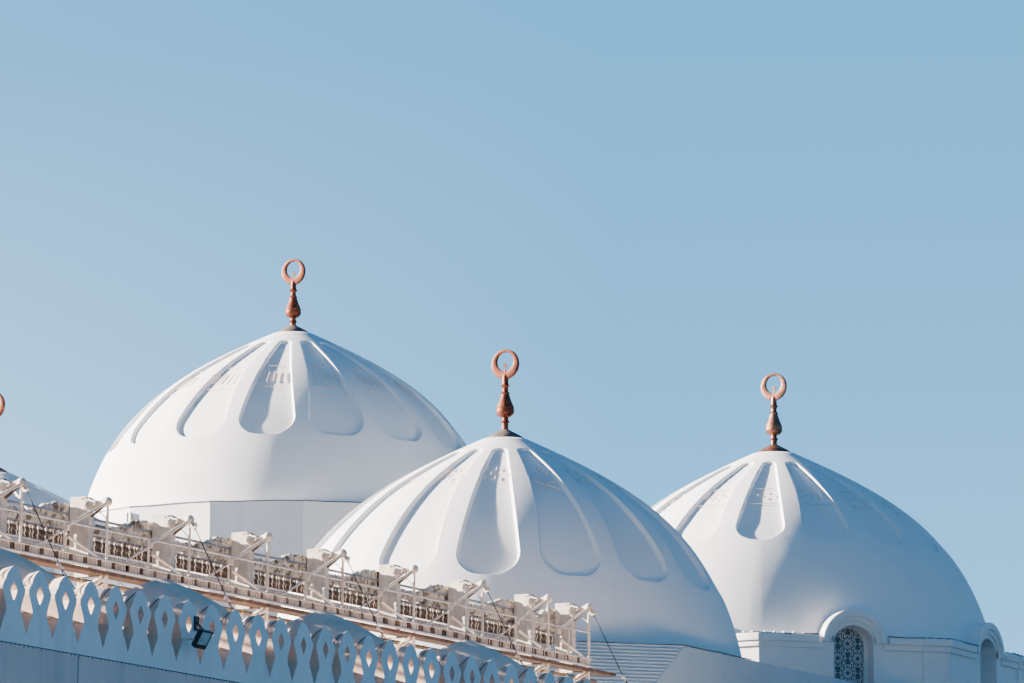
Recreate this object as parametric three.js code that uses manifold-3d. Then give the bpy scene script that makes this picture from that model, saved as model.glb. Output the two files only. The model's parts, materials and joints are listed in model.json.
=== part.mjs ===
// Domed mosque: prayer hall with four ribbed domes, and a courtyard wing with arcades, rows of
// small roof domes, openwork parapets and the steel gantries of a folding courtyard canopy.
// Scale model at 1:2. X runs along the long side, Y across, Z up; the ground is at z = 0.
import * as THREE from 'three';
import { ConvexGeometry } from 'three/addons/geometries/ConvexGeometry.js';
import { mergeVertices } from 'three/addons/utils/BufferGeometryUtils.js';
import Module from 'manifold-3d';

const wasm = await Module();
wasm.setup();

// Every size below is in metres of the real building. METRE turns it into model millimetres.
const METRE = 500;
const GAP = 0.0006;                 // clearance left where one piece is cut by another

// Plan, with the axis of the centre dome at x = 0, y = 0
const GRID = 15.3;                  // spacing of the four domes, both ways
const WEST = -47.48;                // end of the courtyard wing
const EAST = 24.06;
const FRONT = -13.6;
const BACK = GRID - FRONT;
const WALL = 0.6;
const HALL_FACE = -10.4;            // face of the prayer hall towards the courtyard
const PORTICO = 5.5;                // depth of the covered walk, outside to courtyard edge
const MIDDLE_X = (WEST + EAST) / 2;
const MIDDLE_Y = GRID / 2;

// Levels
const ROOF = 11.8;                  // top of the portico and hall roof
const SLAB = 0.5;
const BLOCK_TOP = 15.95;
const DOME_PLINTH = 0.16;            // low ring under the two domes that stand on the block
const RIGHT_DRUM_TOP = 17.66;
const LEFT_DRUM_TOP = 22.06;

// Domes
const DOME_RADIUS = 6;
const DOME_SHELL = 0.45;
const DOME_CROWN = 5.68;            // height of the flat seat under the finial
const DOME_CURVE = [[6, 0], [5.32, 3.55], [3, 4.56], [0, 5.955]];   // radius, height above the foot
const PETALS = 16;
const PETAL_DEPTH = 0.25;
const PETAL_TOP = 5.3;
const PETAL_HALF_LOW = 9.0;         // half width of a petal in degrees, at its foot
const PETAL_HALF_HIGH = 6.6;
const BLOCK_HALF = 6.6;             // from the outer domes' axes to the faces of the block
const LEFT_APOTHEM = 6.5;
const RIGHT_APOTHEM = 6.3;
const CORNICE = 0.11;
const DRUM_HOLE = 5.5;

// Openwork parapet, measured from the joint line at the top of the wall
const JOINT = 11.86;
const MERLON = 0.804;                // pitch
const MERLON_THICK = 0.2;
const LEAF_TIP = 0.195;
const MERLON_WAIST = [0.213, 0.586]; // half width, height above the joint line
const MERLON_SHOULDER = [0.313, 0.933];
const MERLON_PEAK = 1.334;

// Small domes of the portico roof
const BAY = 5.87;
const FIRST_SMALL_DOME = -15.34;
const SMALL_RADIUS = 2.25;
const SMALL_RISE = 2.34;
const SMALL_SHELL = 0.35;
const SMALL_HOLLOW = 1.0;           // height of the plain shaft inside a small dome

// Canopy gantry
const GANTRY_LINE = -8.67;          // y of the ball joints
const FRAMES = [-11.97, ...Array.from({ length: 10 }, (_, i) => -13.87 - 2.97 * i)];
const FLOOR = 14.72;
const BALL_Z = 15.85;
const DECK_THICK = 0.22;
const DECK_SPAN = [0.04, 0.35];     // offsets from the ball joints towards the courtyard
const COLUMN_SPAN = [0.37, 0.8];
const COLUMN_HALF = 0.1;
const REAR_POST = 0.6;
const CANOPY_PIPE = 0.84;
const CANOPY_SPAN = [0.82, 1.04];
const MID_RAIL = 15.3;
const BOTTOM_CHORD = 0.09;          // below the underside of the deck

const finish = (color, roughness, metalness = 0) =>
  new THREE.MeshStandardMaterial({ color, roughness, metalness });
const render = finish(0xe9e8e6, 0.85);
const greyRender = finish(0x8d9096, 0.9);
const copper = finish(0x9a5036, 0.45, 0.9);
const steelPaint = finish(0xd9cfc0, 0.6, 0.2);
const rustyDeck = finish(0x8a6247, 0.9);
const canvas = finish(0xd2c1a8, 0.95);
const dark = finish(0x1f2226, 0.6);
const screen = finish(0xd9dde2, 0.8);
const floorStone = finish(0xbdb6aa, 0.8);

// Shapes and solids

function toSolid(geometry) {
  const clean = geometry.clone();
  clean.deleteAttribute('normal');
  clean.deleteAttribute('uv');
  const merged = mergeVertices(clean, 1e-4);
  return new wasm.Manifold(new wasm.Mesh({
    numProp: 3,
    vertProperties: new Float32Array(merged.attributes.position.array),
    triVerts: new Uint32Array(merged.index.array),
  }));
}

function toGeometry(solid) {
  const mesh = solid.getMesh();
  const geometry = new THREE.BufferGeometry();
  geometry.setAttribute('position', new THREE.BufferAttribute(mesh.vertProperties, 3));
  geometry.setIndex(new THREE.BufferAttribute(mesh.triVerts, 1));
  geometry.computeVertexNormals();
  return geometry;
}

const join = (solids) => solids.reduce((sum, solid) => sum.add(solid));
const cut = (solid, cutters) => cutters.reduce((rest, cutter) => rest.subtract(cutter), solid);

function box(x0, x1, y0, y1, z0, z1) {
  const geometry = new THREE.BoxGeometry((x1 - x0) * METRE, (y1 - y0) * METRE, (z1 - z0) * METRE);
  geometry.translate((x0 + x1) / 2 * METRE, (y0 + y1) / 2 * METRE, (z0 + z1) / 2 * METRE);
  return geometry;
}

// Upright plate from an outline in (along, z): along is x when it faces y, and y when it faces x.
function plate(shape, facing, from, thickness) {
  const geometry = new THREE.ExtrudeGeometry(shape, {
    depth: thickness * METRE, bevelEnabled: false, curveSegments: 4,
  });
  geometry.rotateX(Math.PI / 2);
  if (facing === 'y') geometry.translate(0, (from + thickness) * METRE, 0);
  else {
    geometry.rotateZ(Math.PI / 2);
    geometry.translate(from * METRE, 0, 0);
  }
  return geometry;
}

function flatPlate(shape, from, thickness) {
  const geometry = new THREE.ExtrudeGeometry(shape, { depth: thickness * METRE, bevelEnabled: false });
  geometry.translate(0, 0, from * METRE);
  return geometry;
}

function outline(points) {
  return new THREE.Shape(points.map(([a, b]) => new THREE.Vector2(a * METRE, b * METRE)));
}

function polygon(sides, apothem, x = 0, y = 0) {
  const radius = apothem / Math.cos(Math.PI / sides);
  return outline(Array.from({ length: sides }, (_, i) => {
    const angle = (i + 0.5) * 2 * Math.PI / sides;
    return [x + radius * Math.cos(angle), y + radius * Math.sin(angle)];
  }));
}

// Round-headed opening, as a list of points that starts and ends at the sill.
function roundHead(centre, width, sill, top, steps = 5) {
  const radius = width / 2;
  const spring = top - radius;
  const arc = Array.from({ length: steps + 1 }, (_, i) => {
    const angle = Math.PI * i / steps;
    return [centre + radius * Math.cos(angle), spring + radius * Math.sin(angle)];
  });
  return [[centre + radius, sill], ...arc, [centre - radius, sill]];
}

// Wall with openings cut right through it; each opening is a list of points in (along, z).
function piercedWall(facing, from, along0, along1, top, openings) {
  const wall = toSolid(plate(outline([[along0, 0], [along1, 0], [along1, top], [along0, top]]),
    facing, from, WALL));
  return cut(wall, openings.map((points) =>
    toSolid(plate(outline(points), facing, from - 0.1, WALL + 0.2))));
}

const spread = (from, to, count) =>
  Array.from({ length: count }, (_, i) => from + (to - from) * (i + 0.5) / count);

const group = new THREE.Group();

function place(name, body, material) {
  const geometry = body.isBufferGeometry ? body : toGeometry(body);
  const mesh = new THREE.Mesh(geometry, material);
  mesh.name = name;
  mesh.position.set(-MIDDLE_X * METRE, -MIDDLE_Y * METRE, 0);
  group.add(mesh);
}

// Outer walls and arcades

// Openings that reach the ground start a little below it, so that the cut is clean.
const windowAt = (centre) => roundHead(centre, 1.3, 4.2, 7.6);
const doorAt = (centre) => roundHead(centre, 2.6, -0.1, 4.6);
const archAt = (centre) => roundHead(centre, 4.2, -0.1, 8.2, 6);
const wingBays = Array.from({ length: 5 }, (_, i) => FIRST_SMALL_DOME - BAY * i).reverse();
const hallBays = spread(HALL_FACE, EAST, 6);
const crossBays = spread(FRONT + PORTICO, BACK - PORTICO, 5);

function buildWalls() {
  const windows = [...wingBays, ...hallBays].map(windowAt);
  place('front_wall', piercedWall('y', FRONT, WEST, EAST, JOINT, windows), render);
  place('back_wall', piercedWall('y', BACK - WALL, WEST, EAST, JOINT, windows), render);
  const inner = [FRONT + WALL, BACK - WALL];
  const gate = crossBays.map((y) => (y === MIDDLE_Y ? doorAt(y) : windowAt(y)));
  place('west_wall', piercedWall('x', WEST, ...inner, JOINT, gate), render);
  place('east_wall', piercedWall('x', EAST - WALL, ...inner, JOINT, crossBays.map(windowAt)), render);
}

function buildArcades() {
  const west = WEST + PORTICO;
  const front = FRONT + PORTICO;
  const back = BACK - PORTICO;
  const half = WALL / 2;
  const arches = wingBays.map(archAt);
  place('front_arcade', piercedWall('y', front - half, west + half, HALL_FACE, ROOF, arches), render);
  place('back_arcade', piercedWall('y', back - half, west + half, HALL_FACE, ROOF, arches), render);
  const crossArches = crossBays.map(archAt);
  place('west_arcade', piercedWall('x', west - half, front - half, back + half, ROOF, crossArches), render);
  place('hall_front_wall', piercedWall('x', HALL_FACE, FRONT + WALL, BACK - WALL, ROOF, crossArches), render);
}

// Parapets of pointed merlons with leaf-shaped gaps between them

function parapetShape(from, to) {
  const count = Math.round((to - from) / MERLON);
  const pitch = (to - from) / count;
  const points = [[from, JOINT], [to, JOINT]];
  for (let i = count - 1; i >= 0; i -= 1) {
    const centre = from + (i + 0.5) * pitch;
    points.push([centre + pitch / 2, JOINT + LEAF_TIP]);
    points.push([centre + MERLON_WAIST[0], JOINT + MERLON_WAIST[1]]);
    points.push([centre + MERLON_SHOULDER[0], JOINT + MERLON_SHOULDER[1]]);
    points.push([centre, JOINT + MERLON_PEAK]);
    points.push([centre - MERLON_SHOULDER[0], JOINT + MERLON_SHOULDER[1]]);
    points.push([centre - MERLON_WAIST[0], JOINT + MERLON_WAIST[1]]);
  }
  points.push([from, JOINT + LEAF_TIP]);
  return outline(points);
}

function buildParapets() {
  const long = parapetShape(WEST, EAST);
  place('front_parapet', plate(long, 'y', FRONT, MERLON_THICK), render);
  place('back_parapet', plate(long, 'y', BACK - MERLON_THICK, MERLON_THICK), render);
  const cross = parapetShape(FRONT + MERLON_THICK, BACK - MERLON_THICK);
  place('west_parapet', plate(cross, 'x', WEST, MERLON_THICK), render);
  place('east_parapet', plate(cross, 'x', EAST - MERLON_THICK, MERLON_THICK), render);
}

// Roofs

// Solid of revolution under a pointed curve; its skirt reaches down through the slab.
function smallDome([x, y], radius, rise, skirt, steps) {
  const curve = new THREE.CubicBezierCurve(
    new THREE.Vector2(radius, 0), new THREE.Vector2(radius, 0.4 * rise),
    new THREE.Vector2(0.62 * radius, 0.78 * rise), new THREE.Vector2(0, rise));
  const profile = [[0, -skirt], [radius, -skirt], ...curve.getPoints(steps).map((p) => [p.x, p.y])];
  const geometry = new THREE.LatheGeometry(
    profile.map(([r, h]) => new THREE.Vector2(Math.max(r, 0) * METRE, h * METRE)), 8);
  geometry.rotateX(Math.PI / 2);
  geometry.translate(x * METRE, y * METRE, ROOF * METRE);
  return toSolid(geometry);
}

function domedRoof(name, x0, x1, y0, y1, centres) {
  const slab = toSolid(box(x0, x1, y0, y1, ROOF - SLAB, ROOF));
  const shells = centres.map((centre) => smallDome(centre, SMALL_RADIUS, SMALL_RISE, 0.1, 3));
  const hollows = centres.map(([x, y]) => toSolid(flatPlate(
    polygon(8, SMALL_RADIUS - 2 * SMALL_SHELL, x, y), ROOF - 2 * SLAB, 2 * SLAB + SMALL_HOLLOW)));
  place(name, cut(join([slab, ...shells]), hollows), greyRender);
}

function buildRoofs() {
  const half = WALL / 2;
  const west = WEST + PORTICO;
  const front = FRONT + PORTICO;
  const back = BACK - PORTICO;
  const middle = (FRONT + WALL + front - half) / 2;
  const longRow = (y) => wingBays.map((x) => [x, y]);
  domedRoof('front_portico_roof', west - half, HALL_FACE, FRONT + WALL, front - half, longRow(middle));
  domedRoof('back_portico_roof', west - half, HALL_FACE, back + half, BACK - WALL,
    longRow(GRID - middle));
  const column = (WEST + WALL + west - half) / 2;
  const crossRow = [middle, ...crossBays, GRID - middle].map((y) => [column, y]);
  domedRoof('west_portico_roof', WEST + WALL, west - half, FRONT + WALL, BACK - WALL, crossRow);
  const hall = outline([[HALL_FACE + WALL, FRONT + WALL], [EAST - WALL, FRONT + WALL],
    [EAST - WALL, BACK - WALL], [HALL_FACE + WALL, BACK - WALL]]);
  const inside = BLOCK_HALF - WALL;
  hall.holes.push(outline([[-inside, -inside], [GRID + inside, -inside],
    [GRID + inside, GRID + inside], [-inside, GRID + inside]]));
  place('hall_roof', flatPlate(hall, ROOF - SLAB, SLAB), render);
}

// Raised block under the domes: its four corners are cut back by sloping triangles

const CORNER_LEG = 3.5;
const CORNER_DROP = 2.3;

function cornerCut(signX, signY) {
  const centre = { x: GRID / 2, y: GRID / 2 };
  const reach = GRID / 2 + BLOCK_HALF;
  const over = 0.4;                                   // the cutter stands out past the faces
  const grow = (CORNER_DROP + over) / CORNER_DROP;
  const legs = CORNER_LEG * grow;
  const top = BLOCK_TOP + over;
  const corner = [0, 0, top];
  const points = [corner, [-legs, 0, top], [0, -legs, top], [0, 0, BLOCK_TOP - CORNER_DROP]];
  const sweep = 1.5;
  points.push([sweep, sweep, top], [-legs, sweep, top], [sweep, -legs, top]);
  points.push([sweep, sweep, BLOCK_TOP - CORNER_DROP]);
  const place3 = points.map(([x, y, z]) => new THREE.Vector3(
    (centre.x + signX * (reach + x)) * METRE, (centre.y + signY * (reach + y)) * METRE, z * METRE));
  return toSolid(new ConvexGeometry(place3));
}

function buildBlock() {
  const reach = MIDDLE_Y + BLOCK_HALF;
  const inner = reach - WALL;
  const square = (half) => outline([[half, -half], [half, half], [-half, half], [-half, -half]]
    .map(([x, y]) => [MIDDLE_Y + x, MIDDLE_Y + y]));
  const leg = reach - CORNER_LEG - 0.9;
  const room = flatPlate(outline([[inner, -leg], [inner, leg], [leg, inner], [-leg, inner],
    [-inner, leg], [-inner, -leg], [-leg, -inner], [leg, -inner]]
    .map(([x, y]) => [MIDDLE_Y + x, MIDDLE_Y + y])), ROOF - 1, BLOCK_TOP - ROOF + 1);
  const corners = [[-1, -1], [1, -1], [-1, 1], [1, 1]].map(([sx, sy]) => cornerCut(sx, sy));
  const walls = toSolid(flatPlate(square(reach), ROOF, BLOCK_TOP - SLAB - ROOF));
  place('block_walls', cut(walls, [toSolid(room), ...corners]), render);
  const wells = [[0, 0], [GRID, 0], [0, GRID], [GRID, GRID]].map(([x, y]) =>
    toSolid(flatPlate(polygon(16, DRUM_HOLE, x, y), BLOCK_TOP - 2 * SLAB, 3 * SLAB)));
  const slab = toSolid(flatPlate(square(reach), BLOCK_TOP - SLAB, SLAB));
  place('block_roof', cut(slab, [...wells, ...corners]), render);
}

// Drums

function ringPlate(sides, outside, bottom, top, x, y) {
  const ring = polygon(sides, outside, x, y);
  ring.holes.push(polygon(16, DRUM_HOLE, x, y));
  return flatPlate(ring, bottom, top - bottom);
}

const DORMER_RADIUS = 0.93;
const DORMER_SPRING = RIGHT_DRUM_TOP - 0.1;
const DORMER_FRONT = 6.38;          // from the dome's axis to the face of the dormer
const DORMER_BACK = 5.55;
const DORMER_OPENING = 0.55;
const SCREEN_HALF = 0.5;
const SCREEN_SETBACK = 0.5;

// Round-headed solid that points away from the axis of the right dome, on side number i.
function dormerPiece(i, radius, bottom, from, to, steps = 4) {
  const shape = outline(roundHead(0, 2 * radius, bottom, DORMER_SPRING + radius, steps));
  const geometry = plate(shape, 'x', from, to - from);
  geometry.rotateZ(i * Math.PI / 4);
  geometry.translate(GRID * METRE, 0, 0);
  return geometry;
}

const sidesOfDrum = Array.from({ length: 8 }, (_, i) => i);

function dormerBodies(extra) {
  return sidesOfDrum.map((i) => toSolid(dormerPiece(i, DORMER_RADIUS + extra, BLOCK_TOP,
    DORMER_BACK - extra, DORMER_FRONT, 6)));
}

function buildDrums() {
  place('left_drum', ringPlate(16, LEFT_APOTHEM, BLOCK_TOP, LEFT_DRUM_TOP, GRID, GRID), render);
  const wall = toSolid(ringPlate(8, RIGHT_APOTHEM, BLOCK_TOP, RIGHT_DRUM_TOP, GRID, 0));
  const cornice = toSolid(ringPlate(8, RIGHT_APOTHEM + CORNICE, RIGHT_DRUM_TOP - 0.34, RIGHT_DRUM_TOP,
    GRID, 0));
  const recess = sidesOfDrum.map((i) => toSolid(dormerPiece(i, DORMER_OPENING, BLOCK_TOP + 0.05,
    DORMER_FRONT - SCREEN_SETBACK, DORMER_FRONT + 1)));
  const window = sidesOfDrum.map((i) => toSolid(dormerPiece(i, SCREEN_HALF, BLOCK_TOP + 0.15,
    DORMER_BACK - 1, DORMER_FRONT)));
  place('right_drum', cut(join([wall, cornice, ...dormerBodies(0)]), [...recess, ...window]), render);
  sidesOfDrum.forEach((i) => {
    const plateOf = dormerPiece(i, SCREEN_HALF - GAP, BLOCK_TOP + 0.15 + GAP,
      DORMER_FRONT - SCREEN_SETBACK - 0.12, DORMER_FRONT - SCREEN_SETBACK - 0.04);
    place(`dormer_screen_${i + 1}`, plateOf, screen);
  });
}

// Large domes: a shell whose outside has sixteen sunk petals

function domeProfile(height) {
  const [a, b, c, d] = DOME_CURVE.map(([r, h]) => new THREE.Vector2(r, h));
  const curve = new THREE.CubicBezierCurve(a, b, c, d);
  let low = 0;
  let high = 1;
  for (let i = 0; i < 30; i += 1) {
    const middle = (low + high) / 2;
    if (curve.getPoint(middle).y < height) low = middle;
    else high = middle;
  }
  return curve.getPoint(low).x;
}

// Joins two rings of points round the same axis, whatever the number of points in each.
function stitch(rings, faces, lower, upper) {
  const a = rings[lower];
  const b = rings[upper];
  let i = 0;
  let j = 0;
  while (i < a.length || j < b.length) {
    const nextA = i < a.length ? a[(i + 1) % a.length].turn + (i + 1 >= a.length ? 360 : 0) : Infinity;
    const nextB = j < b.length ? b[(j + 1) % b.length].turn + (j + 1 >= b.length ? 360 : 0) : Infinity;
    if (nextA <= nextB) {
      faces.push(a[i % a.length].index, a[(i + 1) % a.length].index, b[j % b.length].index);
      i += 1;
    } else {
      faces.push(a[i % a.length].index, b[(j + 1) % b.length].index, b[j % b.length].index);
      j += 1;
    }
  }
}

function ringedSolid(levels) {
  const positions = [];
  const faces = [];
  const rings = levels.map((level) => level.map((point) => {
    const angle = THREE.MathUtils.degToRad(point.turn);
    positions.push(point.r * Math.cos(angle) * METRE, point.r * Math.sin(angle) * METRE, point.h * METRE);
    return { turn: point.turn, index: positions.length / 3 - 1 };
  }));
  for (let k = 0; k + 1 < rings.length; k += 1) stitch(rings, faces, k, k + 1);
  const close = (ring, height, flip) => {
    positions.push(0, 0, height * METRE);
    const centre = positions.length / 3 - 1;
    ring.forEach((point, i) => {
      const next = ring[(i + 1) % ring.length];
      if (flip) faces.push(centre, next.index, point.index);
      else faces.push(centre, point.index, next.index);
    });
  };
  close(rings[0], levels[0][0].h, true);
  close(rings[rings.length - 1], levels[levels.length - 1][0].h, false);
  return new wasm.Manifold(new wasm.Mesh({
    numProp: 3, vertProperties: new Float32Array(positions), triVerts: new Uint32Array(faces),
  }));
}

function plainRing(height, count, radius) {
  return Array.from({ length: count }, (_, i) => ({ turn: i * 360 / count, r: radius, h: height }));
}

// One level of the ribbed zone: the petal floor is sunk between two edges on the outer surface.
function petalRing(height, half) {
  const radius = domeProfile(height);
  const pitch = 360 / PETALS;
  const lip = THREE.MathUtils.radToDeg(0.06 / radius);
  const ring = [];
  for (let i = 0; i < PETALS; i += 1) {
    const centre = i * pitch;
    ring.push({ turn: centre - half - lip, r: radius, h: height });
    ring.push({ turn: centre - half, r: radius - PETAL_DEPTH, h: height });
    ring.push({ turn: centre + half, r: radius - PETAL_DEPTH, h: height });
    ring.push({ turn: centre + half + lip, r: radius, h: height });
  }
  return ring;
}

function domeShell(petalFoot, plinth) {
  const half = (height) => {
    const share = (height - petalFoot) / (PETAL_TOP - petalFoot);
    const full = THREE.MathUtils.lerp(PETAL_HALF_LOW, PETAL_HALF_HIGH, share);
    const fromFoot = Math.min(1, (height - petalFoot) / 0.4);
    return full * (0.6 + 0.4 * Math.sqrt(fromFoot));
  };
  const span = PETAL_TOP - petalFoot;
  const heights = [0, 0.3 / span, 0.4, 0.75, 1].map((s) => petalFoot + s * span);
  const levels = [
    ...(plinth > 0 ? [plainRing(-plinth, 32, DOME_RADIUS)] : []),
    plainRing(0, 32, DOME_RADIUS),
    plainRing(petalFoot / 2, 32, domeProfile(petalFoot / 2)),
    plainRing(petalFoot - 0.05, 32, domeProfile(petalFoot - 0.05)),
    ...heights.map((height) => petalRing(height, half(height))),
    plainRing(PETAL_TOP + 0.08, 16, domeProfile(PETAL_TOP + 0.08)),
    plainRing(DOME_CROWN, 16, domeProfile(DOME_CROWN)),
  ];
  const inside = [0, 1.6, 3.2, 4.6].map((h) => plainRing(h, 16, domeProfile(h) - DOME_SHELL));
  inside[0].forEach((point) => { point.h = -0.5; });
  return ringedSolid(levels).subtract(ringedSolid(inside));
}

const DOMES = [
  { name: 'centre', x: 0, y: 0, seat: BLOCK_TOP, plinth: DOME_PLINTH, petalFoot: 1.62 },
  { name: 'right', x: GRID, y: 0, seat: RIGHT_DRUM_TOP, plinth: 0, petalFoot: 2.75 },
  { name: 'left', x: GRID, y: GRID, seat: LEFT_DRUM_TOP, plinth: 0, petalFoot: 1.95 },
  { name: 'far_left', x: 0, y: GRID, seat: BLOCK_TOP, plinth: DOME_PLINTH, petalFoot: 1.62 },
];

// Finial: cone, turned stem with collars and a bulb, and a crescent ring closed round a spade tip
const STEM = [[0, 0], [0.485, 0], [0.09, 0.234], [0.085, 0.45], [0.227, 0.607], [0.217, 0.728],
  [0.1, 1.057], [0.074, 1.18], [0.123, 1.28], [0.078, 1.334], [0, 1.716]];
const RING_CENTRE = 1.821;
const RING_OUTER = 0.38;
const RING_INNER_CENTRE = 1.886;
const RING_INNER = 0.238;
const RING_THICK = 0.07;

function finial() {
  const stem = new THREE.LatheGeometry(STEM.map(([r, h]) => new THREE.Vector2(r * METRE, h * METRE)), 8);
  stem.rotateX(Math.PI / 2);
  const circle = (centre, radius) => outline(Array.from({ length: 16 }, (_, i) => {
    const angle = i * Math.PI / 8;
    return [radius * Math.cos(angle), centre + radius * Math.sin(angle)];
  }));
  const ring = circle(RING_CENTRE, RING_OUTER);
  ring.holes.push(circle(RING_INNER_CENTRE, RING_INNER));
  return toSolid(stem).add(toSolid(plate(ring, 'x', -RING_THICK / 2, RING_THICK)));
}

function buildDomes() {
  const finialSolid = finial();
  DOMES.forEach(({ name, x, y, seat, plinth, petalFoot }) => {
    const foot = seat + plinth;
    const at = (height) => [x * METRE, y * METRE, height * METRE];
    let shell = domeShell(petalFoot, plinth).translate(at(foot));
    if (name === 'right') shell = cut(shell, dormerBodies(GAP));
    place(`${name}_dome`, shell, render);
    place(`${name}_finial`, finialSolid.translate(at(foot + DOME_CROWN + GAP)), copper);
  });
}

// Canopy gantries along both long sides of the courtyard

function bar(a, b, half) {
  const start = new THREE.Vector3(...a).multiplyScalar(METRE);
  const end = new THREE.Vector3(...b).multiplyScalar(METRE);
  const geometry = new THREE.BoxGeometry(2 * half * METRE, 2 * half * METRE, start.distanceTo(end));
  const turn = new THREE.Quaternion().setFromUnitVectors(
    new THREE.Vector3(0, 0, 1), end.clone().sub(start).normalize());
  geometry.applyQuaternion(turn);
  geometry.translate(...start.add(end).multiplyScalar(0.5).toArray());
  return toSolid(geometry);
}

function ball(x, y, z, radius) {
  const geometry = new THREE.IcosahedronGeometry(radius * METRE, 0);
  geometry.translate(x * METRE, y * METRE, z * METRE);
  return toSolid(geometry);
}

// side is 1 for the front gantry and -1 for its mirror image at the back of the courtyard.
function gantryParts(side) {
  const y = (offset) => (side === 1 ? GANTRY_LINE + offset : GRID - GANTRY_LINE - offset);
  const spanBox = (x0, x1, o0, o1, z0, z1) =>
    box(x0, x1, Math.min(y(o0), y(o1)), Math.max(y(o0), y(o1)), z0, z1);
  const last = FRAMES[FRAMES.length - 1];
  const ends = [last - 0.6, HALL_FACE - 0.1];
  const underside = FLOOR - DECK_THICK;
  const parts = [];
  [-0.02, REAR_POST].forEach((offset) => {
    const level = underside - BOTTOM_CHORD;
    parts.push(bar([ends[0], y(offset), level], [ends[1], y(offset), level], 0.06));
  });
  parts.push(bar([last, y(0), MID_RAIL], [FRAMES[0], y(0), MID_RAIL], 0.025));
  const pipe = MID_RAIL - 0.02;
  parts.push(bar([ends[0], y(CANOPY_PIPE), pipe], [FRAMES[0] + 0.3, y(CANOPY_PIPE), pipe], 0.06));
  FRAMES.forEach((x) => {
    parts.push(bar([x, y(0), ROOF + GAP], [x, y(0), BALL_Z], 0.03));
    parts.push(ball(x, y(0), BALL_Z, 0.11));
    parts.push(bar([x, y(REAR_POST), ROOF + GAP], [x, y(REAR_POST), underside], 0.05));
    parts.push(toSolid(
      spanBox(x - COLUMN_HALF, x + COLUMN_HALF, ...COLUMN_SPAN, underside - 0.08, BALL_Z + 0.12)));
    parts.push(toSolid(spanBox(x - 0.05, x + 0.05, 0, 0.5, BALL_Z - 0.06, BALL_Z + 0.04)));
    parts.push(toSolid(
      spanBox(x - 0.05, x + 0.05, 0, COLUMN_SPAN[1], underside - 0.08, underside - GAP)));
  });
  return { frame: join(parts), ends, underside, spanBox, y };
}

function buildGantry(name, side) {
  const { frame, ends, underside, spanBox, y } = gantryParts(side);
  place(`${name}_gantry`, frame, steelPaint);
  place(`${name}_gantry_deck`, spanBox(ends[0], ends[1], ...DECK_SPAN, underside, FLOOR), rustyDeck);
  const first = FRAMES[FRAMES.length - 1] - 0.5;
  const level = MID_RAIL + 0.04 + GAP;
  const roll = toSolid(spanBox(first, FRAMES[0] + 0.3, ...CANOPY_SPAN, level, level + 0.3));
  const packs = FRAMES.map((x) =>
    toSolid(spanBox(x - 0.45, x + 0.3, ...CANOPY_SPAN, level, BALL_Z + 0.02)));
  place(`${name}_canopy_bundle`, join([roll, ...packs]), canvas);
}

// Floodlights on the faces of the long parapets, hall floor with its piers

const FLOODLIGHT = -36.8;           // x of both lamps
const LAMP_LEVEL = JOINT + 0.6;

function buildFloodlight(name, side) {
  const wall = side === 1 ? FRONT : BACK;
  const out = (offset) => wall - side * offset;
  const arm = toSolid(box(FLOODLIGHT + 0.03, FLOODLIGHT + 0.11, Math.min(out(GAP), out(0.35)),
    Math.max(out(GAP), out(0.35)), LAMP_LEVEL - 0.05, LAMP_LEVEL + 0.01));
  const lamp = box(-0.22, 0.22, -0.06, 0.06, -0.17, 0.17);
  lamp.rotateX(THREE.MathUtils.degToRad(30 * side));
  lamp.translate(FLOODLIGHT * METRE, out(0.38) * METRE, LAMP_LEVEL * METRE);
  place(name, arm.add(toSolid(lamp)), dark);
}

function buildFloor() {
  const slab = toSolid(box(HALL_FACE + WALL, EAST - WALL, FRONT + WALL, BACK - WALL, 0, 0.2));
  const lines = [-BLOCK_HALF + 0.45, MIDDLE_Y, GRID + BLOCK_HALF - 0.45];
  const piers = lines.flatMap((x) => lines.map((y) =>
    toSolid(box(x - 0.9, x + 0.9, y - 0.9, y + 0.9, 0.1, ROOF - SLAB))));
  const post = toSolid(box(MIDDLE_Y - 0.9, MIDDLE_Y + 0.9, MIDDLE_Y - 0.9, MIDDLE_Y + 0.9, 0.1,
    BLOCK_TOP - SLAB));
  place('hall_floor_and_piers', join([slab, ...piers, post]), floorStone);
}

buildWalls();
buildArcades();
buildParapets();
buildRoofs();
buildBlock();
buildDrums();
buildDomes();
buildGantry('front', 1);
buildGantry('back', -1);
buildFloodlight('front_floodlight', 1);
buildFloodlight('back_floodlight', -1);
buildFloor();

export default group;
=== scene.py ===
import bpy
import json
import math
from mathutils import Matrix, Vector

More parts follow.
